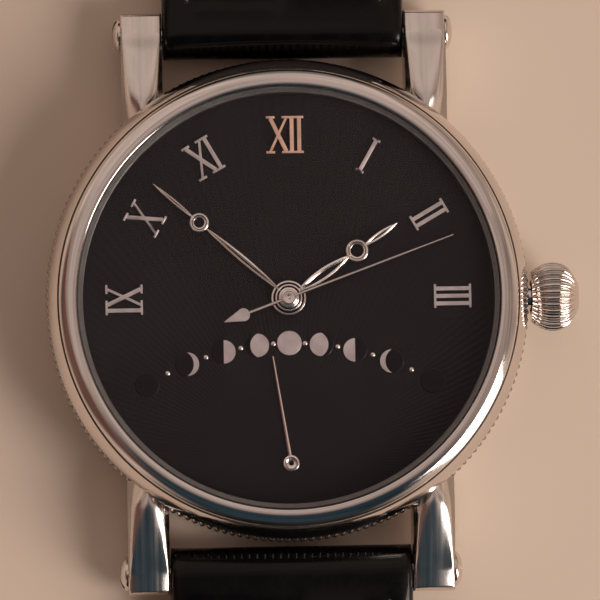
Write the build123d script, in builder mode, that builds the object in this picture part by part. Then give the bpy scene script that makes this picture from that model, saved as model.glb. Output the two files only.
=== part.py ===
from build123d import *

import os
from math import atan2, cos, degrees, hypot, pi, radians, sin, sqrt, tan

# Moon phase wristwatch in millimetres. The origin is the centre of the plane that the case back
# rests on, +Z points up out of the dial, +Y to twelve o'clock and +X to the crown. The strap lies
# open and flat: its short half with the buckle at twelve, its long half with the holes at six.

os.makedirs("parts", exist_ok=True)

# Clearances
seat_gap = 0.03  # between pieces that are assembled and stay together
run_gap = 0.05  # radial clearance of a shaft or a sliding piece
leather_gap = 0.3  # between leather and the metal or leather that it moves against
overrun = 1.0  # how far a cut runs past the face that it enters

# Case band, with its fluted middle
band_radius = 20.25
flute_stand = 0.5
band_plain_radius = band_radius - flute_stand
band_bottom = 1.0
band_height = 6.0
band_chamfer = 0.35
flute_depth = 0.3
flute_count = 190
plain_rim = 1.0
band_wall = 2.15
case_bore_radius = band_plain_radius - band_wall
bezel_seat_width = 0.6
bezel_seat_radius = case_bore_radius + bezel_seat_width
bezel_seat_depth = 0.8

# Bezel, crystal and dial
bezel_setback = 0.25
bezel_radius = band_radius - bezel_setback
bezel_wall = 0.7
bezel_slope_width = 0.9
bezel_ridge_radius = bezel_radius - bezel_slope_width
bezel_ridge_rise = 1.5
bezel_groove = 0.12
bezel_crest_inset = 0.75
bezel_crest_radius = bezel_ridge_radius - bezel_crest_inset
bezel_crest_rise = 2.75
bezel_inner_rise = 2.45
spigot_wall = 0.7
spigot_inner_radius = bezel_seat_radius - spigot_wall
dial_gap = 0.2
dial_radius = spigot_inner_radius - dial_gap
sight_overlap = 0.22
sight_radius = dial_radius - sight_overlap
crystal_land = 0.42
crystal_radius = sight_radius + crystal_land
crystal_gasket_room = 0.1
bezel_inner_radius = crystal_radius + crystal_gasket_room
crystal_edge = 0.95
crystal_dome = 0.75
crystal_seat_rise = 1.95
dial_thickness = 0.4
dial_foot_radius = 0.35
dial_foot_reach = 14.6
dial_foot_length = 0.75
glass_over_dial = 0.05

# Lugs and strap bars
lug_spacing = 20.4
lug_width = 3.45
lug_seat_depth = 0.75
lug_seat_radius = band_plain_radius - lug_seat_depth
bar_gap = 2.4
bar_reach = band_radius + bar_gap
bar_height = 3.0
bar_radius = 0.75
bar_thread_radius = 0.45
bar_thread_depth = 3.2
lug_tip_radius = 1.85
lug_shoulder_height = 6.65
lug_shoulder_inset = 3.5
lug_shoulder_reach = lug_seat_radius - lug_shoulder_inset
lug_root_height = 1.4
lug_facet_slope = 32
screw_dome_radius = 1.5
screw_dome_height = 0.72
screw_slot = 0.36
screw_slot_depth = 0.4

# Case back
back_step = 0.55
back_radius = band_plain_radius - back_step
back_window_radius = 13.0
back_glass_thickness = 1.0
back_glass_lift = 0.25
back_glass_land = 0.6
back_spigot_gap = 0.1
back_spigot_radius = case_bore_radius - back_spigot_gap
back_spigot_wall = 0.8
back_spigot_height = 0.9
back_screw_inset = 0.8
back_screw_circle = back_radius - back_screw_inset
back_screw_head_radius = 0.55
back_screw_head_height = 0.4
back_screw_radius = 0.3
back_screw_length = 1.9
back_screw_count = 6
back_gasket_wire = 0.22

# Crown, tube and stem
stem_height = 4.3
stem_radius = 0.45
stem_inner_end = 6.9
stem_thread = 1.6
crown_gap = 0.25
crown_start = band_radius + crown_gap
crown_length = 3.95
crown_radius = 2.9
crown_flutes = 30
crown_flute_share = 0.075
crown_recess_radius = 1.42
crown_recess_depth = 1.7
crown_travel = 1.2
tube_radius = 1.0
tube_bore_radius = 0.7
tube_stand = 0.95
crown_gasket_length = 0.5
stem_groove_at = 11.6
stem_groove_width = 0.5
stem_groove_radius = 0.22

# Levels of the movement, from the case back up to the dial
rotor_level = 1.8
rotor_plate_thickness = 0.35
rotor_rim_height = 1.2
winding_level = 2.35
winding_wheel_thickness = 0.4
bridge_level = 2.8
bridge_thickness = 0.7
plate_level = 4.95
plate_thickness = 1.2
wheel_thickness = 0.15
third_level = 3.7
barrel_level = 3.6
fourth_level = 4.15
second_level = 4.55
escape_level = 4.5
motion_level = 6.25
motion_step = 0.25
hour_hand_level = 7.9
hour_hand_thickness = 0.2
minute_hand_level = 8.3
minute_hand_thickness = 0.16
seconds_hand_level = 8.65
seconds_hand_thickness = 0.14
moon_hand_level = 7.62
moon_hand_thickness = 0.12

# Movement plates
ring_gap = 0.3
ring_outer_radius = case_bore_radius - ring_gap
ring_width = 1.0
ring_inner_radius = ring_outer_radius - ring_width
plate_gap = 0.1
plate_radius = ring_inner_radius - plate_gap
ring_level = 3.2
rotor_edge_gap = 0.5
rotor_radius = back_spigot_radius - back_spigot_wall - rotor_edge_gap
rotor_rim_width = 2.1
bridge_edge_gap = 0.5
bridge_radius = rotor_radius - rotor_rim_width - bridge_edge_gap
bridge_split = 0.2
pillar_radius = 0.95
barrel_pillar_angles = (20.5, 84)
train_pillar_angles = (127, 195)
cock_angle = 195
cock_clearance = 0.8
cock_width = 2.1
cock_foot_radius = 1.43
cock_head_radius = 1.44
bridge_screw_radius = 0.35
bridge_screw_head_radius = 0.7
bridge_screw_head_height = 0.4
bridge_screw_length = 3.0
jewel_radius = 0.6
jewel_thickness = 0.4
arbor_radius = 0.25
pivot_radius = 0.12
end_shake = 0.05

# Gear trains: teeth, leaves and modules
mesh_play = 0.02
tooth_addendum_share = 0.85
tooth_dedendum_share = 1.15
tooth_root_share = 0.27
tooth_tip_share = 0.11
barrel_teeth = 90
barrel_module = 0.12
second_leaves = 12
second_teeth = 80
second_module = 0.1
third_leaves = 10
third_teeth = 75
third_module = 0.09
fourth_leaves = 10
fourth_teeth = 80
fourth_module = 0.075
escape_leaves = 8
cannon_leaves = 12
minute_teeth = 36
minute_leaves = 10
hour_teeth = 40
motion_module = 0.12
day_teeth = 80
ratchet_teeth = 44
crown_wheel_teeth = 30
winding_module = 0.2
contrate_teeth = 25
winding_pinion_teeth = 10
moon_leaves = 14
rack_circle_teeth = 84
rack_teeth = 11
rack_module = 0.1
moon_star_teeth = 59
moon_star_radius = 3.0
day_hub_radius = 0.6

# Places in the movement
barrel_x = 5.2
barrel_y = 7.0
second_distance = 4.6
escape_angle = -55
pallet_angle = -40
pallet_distance = 2.75
balance_angle = -60
balance_distance = 3.2
day_wheel_angle = 215
moon_pivot_reach = 13.7
rack_angle = 150
cam_arm_length = 4.0
cam_arm_angle = 60
cam_rest_radius = 1.9
cam_turn = 345
moon_sweep_left = 51.7
moon_sweep_right = 69.5
moon_rest_angle = 8.9

# Barrel, escapement, balance and winding
drum_radius = 5.2
drum_height = 0.8
drum_wall = 0.12
barrel_arbor_radius = 0.5
mainspring_inner = 0.95
mainspring_outer = 4.75
mainspring_strip = 0.12
mainspring_turns = 6.5
escape_radius = 2.3
escape_teeth = 15
escape_rim_radius = 1.72
escape_rim = 0.34
escape_hub_radius = 0.58
escape_arm = 0.28
balance_radius = 4.2
balance_rim = 0.4
balance_level = 3.85
balance_thickness = 0.3
balance_arm = 0.5
hairspring_inner = 0.65
hairspring_outer = 2.35
hairspring_strip = 0.1
hairspring_turns = 3
hairspring_level = 3.56
hairspring_height = 0.2
roller_radius = 0.7
pallet_foot_reach = 2.34
pallet_bridge_width = 1.56
stone_clearance = 0.18
stone_spread = 30
fork_thickness = 0.2
fork_hub_radius = 0.35
winding_pinion_at = 8.95
winding_pinion_length = 0.55
winding_pinion_radius = 0.6
clutch_at = 7.75
clutch_length = 1.1
clutch_travel = 0.6
clutch_groove_wall = 0.08
crown_wheel_hub_radius = 1.8
crown_wheel_hub_wall = 0.6
lever_level = 4.17
lever_thickness = 0.26
lever_reach = 5.6
lever_width = 0.8
yoke_reach = 3.4
rotor_hub_radius = 2.4
rotor_post_radius = 1.0
rotor_flange = 0.17
rotor_flange_radius = 1.45

# Dial furniture
numeral_radius = 13.65
numeral_height = 3.1
numeral_relief = 0.25
thick_stroke = 0.32
thin_stroke = 0.2
serif_height = 0.18
serif_width = 0.72
stroke_pitch = 0.62
cross_width = 1.3
moon_disc_radius = 1.02
moon_disc_relief = 0.08
moon_plate_relief = 0.1
moon_arc_radius = 22.94
moon_arc_top = 9.98
moon_step_angle = 15.15
pip_radius = 0.22
pip_relief = 0.16

# Hands
hour_hand_angle = 56.2
hour_hand_reach = 11.0
hour_ring_reach = 6.92
hour_ring_radius = 0.94
hour_ring_hole = 0.54
hour_blade_width = 0.8
hour_tip_width = 0.47
hour_hub_radius = 1.45
minute_hand_angle = -49.1
minute_hand_reach = 14.7
minute_ring_reach = 9.7
minute_ring_radius = 0.8
minute_ring_hole = 0.43
minute_blade_width = 0.47
minute_tip_width = 0.33
minute_hub_radius = 1.15
seconds_hand_angle = 69.9
seconds_hand_reach = 14.64
seconds_tail_reach = 5.74
seconds_weight_reach = 4.05
seconds_weight_radius = 0.54
seconds_rod_width = 0.22
seconds_point_width = 0.1
seconds_hub_radius = 0.75
moon_hand_reach = 9.0
moon_hub_radius = 0.675
moon_hand_width = 0.24
centre_tube_radius = 0.4
cannon_radius = 0.65
hour_pipe_radius = 0.9

# Strap and buckle
strap_width = 20.0
strap_end_width = 18.0
strap_taper_length = 35.0
strap_loop_radius = 2.1
strap_crest = 4.5
strap_crest_at = 8.0
strap_shoulder = 3.1
strap_shoulder_at = 24.0
strap_thickness = 2.4
strap_even_from = 39.0
strap_drop_length = 5.5
short_length = 75.0
long_length = 115.0
short_lift = 0.8
strap_hole_radius = 0.95
strap_hole_pitch = 6.5
strap_hole_count = 7
strap_hole_margin = 24.0
strap_bar_hole_radius = 0.82
pin_radius = 0.6
pin_height = 2.1
pin_loop_radius = 1.3
tongue_notch_width = 2.6
tongue_notch_depth = 3.0
frame_gap = 0.4
frame_arm_width = 1.7
frame_reach = 9.6
frame_bar_width = 1.9
frame_back = 1.2
frame_height = 2.2
frame_bar_height = 1.5
frame_corner = 1.6
tongue_width = 2.0
tongue_thickness = 0.75
tongue_loop_radius = 1.1
tongue_over = 0.6
keeper_width = 5.0
keeper_wall = 0.7
keeper_height = 6.4
keeper_side_wall = 1.2
fixed_keeper_at = 8.0
free_keeper_at = 21.5

# Levels and places that follow from the sizes above
band_top = band_bottom + band_height
dial_level = band_top
dial_top = dial_level + dial_thickness
bridge_top = bridge_level + bridge_thickness
plate_top = plate_level + plate_thickness
bezel_bottom = band_top + seat_gap
crystal_level = band_top + crystal_seat_rise
lug_inner = lug_spacing / 2
lug_outer = lug_inner + lug_width
pin_reach = bar_reach + short_length
hour_module = motion_module * (cannon_leaves + minute_teeth) / (minute_leaves + hour_teeth)


def polar(centre, distance, angle):
    """The point at a distance and an angle in degrees from a centre."""
    turn = radians(angle)
    return (centre[0] + distance * cos(turn), centre[1] + distance * sin(turn))


def between(first, second):
    """The distance between two points in plan."""
    return hypot(second[0] - first[0], second[1] - first[1])


def bearing(first, second):
    """The angle in degrees of the line from one point to another."""
    return degrees(atan2(second[1] - first[1], second[0] - first[0]))


def meet(first, first_distance, second, second_distance):
    """The point left of the line first to second that stands at both distances."""
    span = between(first, second)
    along = (first_distance**2 - second_distance**2 + span**2) / (2 * span)
    across = sqrt(first_distance**2 - along**2)
    foot = polar(first, along, bearing(first, second))
    return polar(foot, across, bearing(first, second) + 90)


def mesh_distance(module, teeth, leaves):
    """The centre distance of two gears of one module."""
    return module * (teeth + leaves) / 2 + mesh_play


def mesh_phase(driver, driver_teeth_count, driver_phase, follower, follower_teeth_count):
    """The angle of a follower's first tooth that puts its gap on the driver's tooth."""
    line = bearing(driver, follower)
    off = driver_phase - line
    return line + 180 - off * driver_teeth_count / follower_teeth_count + 180 / follower_teeth_count


def clock_plane(angle, reach, height):
    """A plane whose Y points outwards at a clock angle, counted clockwise from twelve."""
    turn = radians(angle)
    return Plane(
        origin=(reach * sin(turn), reach * cos(turn), height),
        x_dir=(cos(turn), -sin(turn), 0),
        z_dir=(0, 0, 1),
    )


def level(centre, height):
    """The horizontal plane at a height, centred on a point in plan."""
    return Plane(origin=(centre[0], centre[1], height))


def turned_level(centre, height, angle):
    """The horizontal plane at a height, centred on a point and turned anticlockwise."""
    turn = radians(angle)
    return Plane(
        origin=(centre[0], centre[1], height), x_dir=(cos(turn), sin(turn), 0), z_dir=(0, 0, 1)
    )


def disc(centre, height, thickness, radius, mode=Mode.ADD):
    """Add or cut a disc whose axis is along Z."""
    with BuildSketch(level(centre, height)) as face:
        Circle(radius)
    extrude(face.sketch, amount=thickness, mode=mode)


def ring(centre, height, thickness, radius, hole):
    """Add a flat ring whose axis is along Z."""
    with BuildSketch(level(centre, height)) as face:
        Circle(radius)
        Circle(hole, mode=Mode.SUBTRACT)
    extrude(face.sketch, amount=thickness)


def gear(centre, height, thickness, teeth, module, phase):
    """Add a spur gear whose first tooth stands at the angle phase."""
    root = module * (teeth / 2 - tooth_dedendum_share)
    tip = module * (teeth / 2 + tooth_addendum_share)
    pitch = 2 * pi / teeth
    flank = [(root, -tooth_root_share), (tip, -tooth_tip_share)]
    flank += [(tip, tooth_tip_share), (root, tooth_root_share)]
    with BuildSketch(level(centre, height)) as face:
        with BuildLine():
            Polyline(
                *[
                    (
                        radius * cos(radians(phase) + (tooth + share) * pitch),
                        radius * sin(radians(phase) + (tooth + share) * pitch),
                    )
                    for tooth in range(teeth)
                    for radius, share in flank
                ],
                close=True,
            )
        make_face()
    extrude(face.sketch, amount=thickness)


def arbor(centre, radius=arbor_radius):
    """Add a wheel's arbor with a pivot at each end, from the bridge to the main plate."""
    low, high = bridge_top + end_shake, plate_level - end_shake
    disc(centre, low, high - low, radius)
    pivot_low = bridge_level + (bridge_thickness - jewel_thickness) / 2
    pivot_high = plate_level + (plate_thickness + jewel_thickness) / 2
    disc(centre, pivot_low, pivot_high - pivot_low, pivot_radius)


def spiral_strip(centre, height, width, inner, outer, strip, turns):
    """Add a flat spiral strip that stands on edge."""
    steps = int(turns * 12)
    sides = []
    for side in (-strip / 2, strip / 2):
        sides.append(
            [
                polar(
                    (0, 0),
                    inner + (outer - inner) * step / steps + side,
                    turns * 360 * step / steps,
                )
                for step in range(steps + 1)
            ]
        )
    with BuildSketch(level(centre, height)) as face:
        with BuildLine():
            inside = Spline(*sides[0])
            outside = Spline(*sides[1])
            Line(inside @ 0, outside @ 0)
            Line(inside @ 1, outside @ 1)
        make_face()
    extrude(face.sketch, amount=width)
    print("least gap of a spiral:", round((outer - inner) / turns - strip, 3))


def keep(piece, name):
    """Label a finished piece and write it."""
    piece.part.label = name
    export_step(piece.part, f"parts/{name}.step")


# Wheel centres, worked out from the gears that mesh
centre = (0, 0)
barrel_at = (barrel_x, barrel_y)
second_at = meet(
    centre,
    second_distance,
    barrel_at,
    mesh_distance(barrel_module, barrel_teeth, second_leaves),
)
third_at = meet(
    centre,
    mesh_distance(third_module, third_teeth, fourth_leaves),
    second_at,
    mesh_distance(second_module, second_teeth, third_leaves),
)
escape_at = polar(centre, mesh_distance(fourth_module, fourth_teeth, escape_leaves), escape_angle)
pallet_at = polar(escape_at, pallet_distance, pallet_angle)
balance_at = polar(pallet_at, balance_distance, balance_angle)
minute_distance = mesh_distance(motion_module, cannon_leaves, minute_teeth)
minute_at = meet(centre, minute_distance, second_at, minute_distance)
day_at = polar(centre, mesh_distance(hour_module, hour_teeth, day_teeth), day_wheel_angle)
winding_distance = mesh_distance(winding_module, ratchet_teeth, crown_wheel_teeth)
crown_wheel_at = (barrel_x + sqrt(winding_distance**2 - barrel_y**2), 0)
moon_at = (0, -moon_pivot_reach)
rack_at = polar(moon_at, mesh_distance(rack_module, rack_circle_teeth, moon_leaves), rack_angle)
cam_tip = polar(rack_at, cam_arm_length, cam_arm_angle)
cam_at = polar(cam_tip, cam_rest_radius, cam_arm_angle - 90)
bearings_at = [second_at, third_at, escape_at, balance_at]

# Case middle: a turned ring with a fluted belt, bored for the movement and recessed for the lugs
knurl_bottom = band_bottom + plain_rim
knurl_height = band_height - 2 * plain_rim
lug_corners = [
    (side * (lug_inner + lug_width / 2), end * lug_seat_radius) for side in (-1, 1) for end in (-1, 1)
]
with BuildPart() as case_middle:
    with BuildSketch(Plane.XY.offset(band_bottom)):
        Circle(band_plain_radius)
    extrude(amount=band_height)
    chamfer(case_middle.edges().group_by(Axis.Z)[0], band_chamfer)
    with BuildSketch(Plane.XY.offset(knurl_bottom)):
        with BuildLine():
            Polyline(
                *[
                    polar(centre, band_radius - flute_depth * (half % 2), 180 * half / flute_count)
                    for half in range(2 * flute_count)
                ],
                close=True,
            )
        make_face()
    extrude(amount=knurl_height)
    with BuildSketch(Plane.XY.offset(band_bottom - overrun)):
        Circle(case_bore_radius)
    extrude(amount=band_height + 2 * overrun, mode=Mode.SUBTRACT)
    with BuildSketch(Plane.XY.offset(band_top - bezel_seat_depth)):
        Circle(bezel_seat_radius)
    extrude(amount=bezel_seat_depth + overrun, mode=Mode.SUBTRACT)
    with BuildSketch(Plane.XY.offset(band_bottom - overrun)):
        with Locations(*lug_corners):
            Rectangle(lug_width, lug_seat_radius)
        Circle(lug_seat_radius, mode=Mode.SUBTRACT)
    extrude(amount=band_height + 2 * overrun, mode=Mode.SUBTRACT)
    with BuildSketch(Plane.YZ.offset(case_bore_radius - overrun)):
        with Locations((0, stem_height)):
            Circle(tube_radius + seat_gap)
    extrude(amount=band_radius - case_bore_radius + 2 * overrun, mode=Mode.SUBTRACT)
    with BuildSketch(Plane.XY.offset(band_bottom - overrun)):
        with PolarLocations(back_screw_circle, back_screw_count):
            Circle(back_screw_radius + seat_gap)
    extrude(amount=back_screw_length + overrun, mode=Mode.SUBTRACT)
keep(case_middle, "case_middle")

# Bezel: a stepped ring with a groove below its polished crest, and a cone down to the dial
with BuildPart() as bezel:
    with BuildSketch(Plane.XZ):
        with BuildLine():
            spigot_low = band_top - bezel_seat_depth + seat_gap
            rehaut_low = dial_top + glass_over_dial
            Polyline(
                (sight_radius, crystal_level),
                (sight_radius, rehaut_low),
                (spigot_inner_radius, rehaut_low),
                (spigot_inner_radius, spigot_low),
                (bezel_seat_radius - seat_gap, spigot_low),
                (bezel_seat_radius - seat_gap, bezel_bottom),
                (bezel_radius, bezel_bottom),
                (bezel_radius, bezel_bottom + bezel_wall),
            )
            ThreePointArc(
                (bezel_radius, bezel_bottom + bezel_wall),
                (
                    (bezel_radius + bezel_ridge_radius) / 2 + bezel_groove,
                    bezel_bottom + (bezel_wall + bezel_ridge_rise) / 2,
                ),
                (bezel_ridge_radius + bezel_groove, band_top + bezel_ridge_rise),
            )
            Polyline(
                (bezel_ridge_radius + bezel_groove, band_top + bezel_ridge_rise),
                (bezel_ridge_radius, band_top + bezel_ridge_rise - bezel_groove),
                (bezel_ridge_radius, band_top + bezel_ridge_rise + bezel_groove),
            )
            ThreePointArc(
                (bezel_ridge_radius, band_top + bezel_ridge_rise + bezel_groove),
                (bezel_crest_radius, band_top + bezel_crest_rise),
                (bezel_inner_radius, band_top + bezel_inner_rise),
            )
            Polyline(
                (bezel_inner_radius, band_top + bezel_inner_rise),
                (bezel_inner_radius, crystal_level),
                (sight_radius, crystal_level),
            )
        make_face()
    revolve(axis=Axis.Z)
keep(bezel, "bezel")

# Crystal: a flat underside and a slightly domed top, in its gasket
crystal_foot = crystal_level + seat_gap
with BuildPart() as crystal:
    with BuildSketch(Plane.XZ):
        with BuildLine():
            Polyline(
                (0, crystal_foot + crystal_edge + crystal_dome),
                (0, crystal_foot),
                (crystal_radius - seat_gap, crystal_foot),
                (crystal_radius - seat_gap, crystal_foot + crystal_edge),
            )
            TangentArc(
                (0, crystal_foot + crystal_edge + crystal_dome),
                (crystal_radius - seat_gap, crystal_foot + crystal_edge),
                tangent=(1, 0),
            )
        make_face()
    revolve(axis=Axis.Z)
keep(crystal, "crystal")

# Lugs: a side profile round the strap bar, faceted like a leaf from the case to the tip
lug_reaches = [
    lug_shoulder_reach - 2 * lug_tip_radius,
    lug_shoulder_reach,
    lug_shoulder_reach + lug_tip_radius,
    bar_reach - lug_tip_radius,
    bar_reach,
    bar_reach + lug_tip_radius,
]
facet_width_shares = [0.05, 0.05, 0.45, 0.72, 0.86, 0.9]
facet_level_shares = [1, 1, 0.95, 0.43, 0, -0.31]
facet_low = bar_height + lug_tip_radius
with BuildPart() as lug:
    for reach, width_share, level_share in zip(lug_reaches, facet_width_shares, facet_level_shares):
        facet = width_share * lug_width
        top = facet_low + level_share * (lug_shoulder_height - facet_low)
        drop = (lug_width - facet) / 2 * tan(radians(lug_facet_slope))
        with BuildSketch(Plane.XZ.offset(-reach)):
            with BuildLine():
                Polyline(
                    (lug_inner, 0),
                    (lug_outer, 0),
                    (lug_outer, top - drop),
                    (lug_inner + (lug_width + facet) / 2, top),
                    (lug_inner + (lug_width - facet) / 2, top),
                    (lug_inner, top - drop),
                    close=True,
                )
            make_face()
    loft(ruled=True)
    with BuildSketch(Plane.YZ.offset(lug_inner - overrun)):
        with BuildLine():
            low = (bar_reach, bar_height - lug_tip_radius)
            tip = (bar_reach + lug_tip_radius, bar_height)
            shoulder = (bar_reach - lug_tip_radius, band_top + overrun)
            crown_of_tip = polar((bar_reach, bar_height), lug_tip_radius, 50)
            arch = ((lug_seat_radius + bar_reach) / 2, lug_root_height + seat_gap)
            Line((0, lug_root_height), (lug_shoulder_reach, lug_root_height))
            Spline((lug_shoulder_reach, lug_root_height), arch, low)
            TangentArc(low, tip, tangent=(1, 0))
            TangentArc(tip, crown_of_tip, tangent=(0, 1))
            Polyline(crown_of_tip, shoulder, (0, band_top + overrun), (0, lug_root_height))
        make_face()
    extrude(amount=lug_width + 2 * overrun, mode=Mode.INTERSECT)
    with BuildSketch(Plane.XY):
        Circle(lug_seat_radius)
    extrude(amount=band_top + overrun, mode=Mode.SUBTRACT)
    with BuildSketch(Plane.YZ.offset(lug_inner - overrun)):
        with Locations((bar_reach, bar_height)):
            Circle(bar_radius + seat_gap)
    extrude(amount=lug_width + 2 * overrun, mode=Mode.SUBTRACT)

with BuildPart() as lugs:
    add(lug.part)
    mirror(about=Plane.YZ)
    mirror(about=Plane.XZ)
keep(lugs, "lugs")

# Strap bars, threaded at both ends, and the four domed screws that hold them
bar_half = lug_outer - seat_gap
bar_ends = [(-bar_reach, bar_height), (bar_reach, bar_height)]
with BuildPart() as strap_bars:
    with BuildSketch(Plane.YZ.offset(-bar_half)):
        with Locations(*bar_ends):
            Circle(bar_radius)
    extrude(amount=2 * bar_half)
    with BuildSketch(Plane.YZ.offset(-bar_half), Plane.YZ.offset(bar_half - bar_thread_depth)):
        with Locations(*bar_ends):
            Circle(bar_thread_radius)
    extrude(amount=bar_thread_depth, mode=Mode.SUBTRACT)
keep(strap_bars, "strap_bars")

dome_sphere = (screw_dome_radius**2 + screw_dome_height**2) / (2 * screw_dome_height)
with BuildPart() as strap_screw:
    with BuildSketch(Plane.XZ):
        with BuildLine():
            Polyline(
                (0, screw_dome_height),
                (0, seat_gap - bar_thread_depth),
                (bar_thread_radius - seat_gap, seat_gap - bar_thread_depth),
                (bar_thread_radius - seat_gap, 0),
                (screw_dome_radius, 0),
            )
            RadiusArc((0, screw_dome_height), (screw_dome_radius, 0), dome_sphere)
        make_face()
    revolve(axis=Axis.Z)
    with BuildSketch(Plane.XY.offset(screw_dome_height - screw_slot_depth)):
        Rectangle(2 * screw_dome_radius + overrun, screw_slot)
    extrude(amount=screw_slot_depth + overrun, mode=Mode.SUBTRACT)
with BuildPart() as strap_bar_screws:
    for side in (-1, 1):
        for end in (-1, 1):
            seat = (side * (lug_outer + seat_gap), end * bar_reach, bar_height)
            add(Plane(origin=seat, x_dir=(0, 1, 0), z_dir=(side, 0, 0)).location * strap_screw.part)
keep(strap_bar_screws, "strap_bar_screws")

# Case back: a screwed ring round a sapphire window, with a spigot and a gasket
glass_radius = back_window_radius + back_glass_land
with BuildPart() as case_back:
    with BuildSketch(Plane.XY):
        Circle(back_radius)
        Circle(back_window_radius, mode=Mode.SUBTRACT)
    extrude(amount=band_bottom)
    chamfer(case_back.edges().group_by(Axis.Z)[0].sort_by(SortBy.RADIUS)[-1], band_chamfer / 2)
    with BuildSketch(Plane.XY.offset(back_glass_lift)):
        Circle(glass_radius + seat_gap)
    extrude(amount=band_bottom, mode=Mode.SUBTRACT)
    ring(
        centre,
        band_bottom,
        back_spigot_height,
        back_spigot_radius - 2 * back_gasket_wire,
        back_spigot_radius - back_spigot_wall - 2 * back_gasket_wire,
    )
    with BuildSketch(Plane.XY):
        with PolarLocations(back_screw_circle, back_screw_count):
            Circle(back_screw_head_radius + seat_gap)
    extrude(amount=back_screw_head_height + 2 * seat_gap, mode=Mode.SUBTRACT)
    with BuildSketch(Plane.XY):
        with PolarLocations(back_screw_circle, back_screw_count):
            Circle(back_screw_radius + seat_gap)
    extrude(amount=band_bottom + overrun, mode=Mode.SUBTRACT)
keep(case_back, "case_back")

with BuildPart() as back_crystal:
    disc(centre, back_glass_lift, back_glass_thickness - seat_gap, glass_radius)
keep(back_crystal, "back_crystal")

with BuildPart() as case_gaskets:
    ring(
        centre,
        crystal_foot,
        bezel_inner_rise - crystal_seat_rise - seat_gap,
        bezel_inner_radius - seat_gap / 2,
        crystal_radius - seat_gap / 2,
    )
    gasket_at = back_spigot_radius - back_gasket_wire
    with BuildSketch(Plane.XZ):
        with Locations((gasket_at, band_bottom + back_gasket_wire + seat_gap)):
            Circle(back_gasket_wire - seat_gap)
    revolve(axis=Axis.Z)
keep(case_gaskets, "case_gaskets")

with BuildPart() as case_back_screws:
    with BuildSketch(Plane.XY.offset(seat_gap)):
        with PolarLocations(back_screw_circle, back_screw_count):
            Circle(back_screw_head_radius)
    extrude(amount=back_screw_head_height)
    with BuildSketch(Plane.XY.offset(seat_gap)):
        with PolarLocations(back_screw_circle, back_screw_count):
            Circle(back_screw_radius)
    extrude(amount=band_bottom + back_screw_length - 2 * seat_gap)
    with BuildSketch(Plane.XY):
        with PolarLocations(back_screw_circle, back_screw_count):
            Rectangle(2 * back_screw_head_radius, back_screw_radius / 2)
    extrude(amount=back_screw_head_height / 2, mode=Mode.SUBTRACT)
keep(case_back_screws, "case_back_screws")

# Crown: an onion of tapering flutes, hollow over the case tube
crown_stations_share = [(0, 0.72), (0.1, 0.83), (0.28, 0.96), (0.45, 1), (0.62, 0.97)]
crown_stations_share += [(0.78, 0.86), (0.91, 0.64), (1, 0.4)]
with BuildPart() as crown:
    for along_share, radius_share in crown_stations_share:
        with BuildSketch(Plane.YZ.offset(crown_start + along_share * crown_length)):
            with BuildLine():
                Polyline(
                    *[
                        polar(
                            (0, stem_height),
                            radius_share * crown_radius * (1 - crown_flute_share * (half % 2)),
                            180 * half / crown_flutes,
                        )
                        for half in range(2 * crown_flutes)
                    ],
                    close=True,
                )
            make_face()
    loft(ruled=True)
    with BuildSketch(Plane.YZ.offset(crown_start)):
        with Locations((0, stem_height)):
            Circle(crown_recess_radius)
    extrude(amount=crown_recess_depth, mode=Mode.SUBTRACT)
    with BuildSketch(Plane.YZ.offset(crown_start)):
        with Locations((0, stem_height)):
            Circle(stem_radius + seat_gap)
    extrude(amount=crown_recess_depth + stem_thread, mode=Mode.SUBTRACT)
keep(crown, "crown")

with BuildPart() as crown_gasket:
    with BuildSketch(Plane.YZ.offset(crown_start + crown_travel / 4)):
        with Locations((0, stem_height)):
            Circle(crown_recess_radius - seat_gap)
            Circle(tube_radius + run_gap, mode=Mode.SUBTRACT)
    extrude(amount=crown_gasket_length)
keep(crown_gasket, "crown_gasket")

with BuildPart() as crown_tube:
    with BuildSketch(Plane.YZ.offset(case_bore_radius + seat_gap)):
        with Locations((0, stem_height)):
            Circle(tube_radius)
            Circle(tube_bore_radius, mode=Mode.SUBTRACT)
    extrude(amount=crown_start + tube_stand - case_bore_radius - seat_gap)
keep(crown_tube, "crown_tube")

with BuildPart() as winding_stem:
    with BuildSketch(Plane.YZ.offset(stem_inner_end)):
        with Locations((0, stem_height)):
            Circle(stem_radius)
    extrude(amount=crown_start + crown_recess_depth + stem_thread - seat_gap - stem_inner_end)
    with BuildSketch(Plane.YZ.offset(stem_groove_at - stem_groove_width / 2)):
        with Locations((0, stem_height)):
            Circle(stem_radius + overrun)
            Circle(stem_groove_radius, mode=Mode.SUBTRACT)
    extrude(amount=stem_groove_width, mode=Mode.SUBTRACT)
keep(winding_stem, "winding_stem")

# Keyless works on the stem: the winding pinion, and the clutch with its groove
with BuildPart() as winding_pinion:
    with BuildSketch(Plane.YZ.offset(winding_pinion_at)):
        with Locations((0, stem_height)):
            Circle(winding_pinion_radius)
            Circle(stem_radius + run_gap, mode=Mode.SUBTRACT)
        with Locations((0, stem_height)):
            with PolarLocations(winding_pinion_radius, winding_pinion_teeth):
                Circle(run_gap, mode=Mode.SUBTRACT)
    extrude(amount=winding_pinion_length)
keep(winding_pinion, "winding_pinion")

with BuildPart() as sliding_clutch:
    with BuildSketch(Plane.YZ.offset(clutch_at)):
        with Locations((0, stem_height)):
            Circle(winding_pinion_radius)
            Circle(stem_radius + run_gap, mode=Mode.SUBTRACT)
    extrude(amount=clutch_length)
    with BuildSketch(Plane.YZ.offset(clutch_at + clutch_length / 3)):
        with Locations((0, stem_height)):
            Circle(winding_pinion_radius + overrun)
            Circle(stem_radius + clutch_groove_wall, mode=Mode.SUBTRACT)
    extrude(amount=clutch_length / 3, mode=Mode.SUBTRACT)
keep(sliding_clutch, "sliding_clutch")

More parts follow.
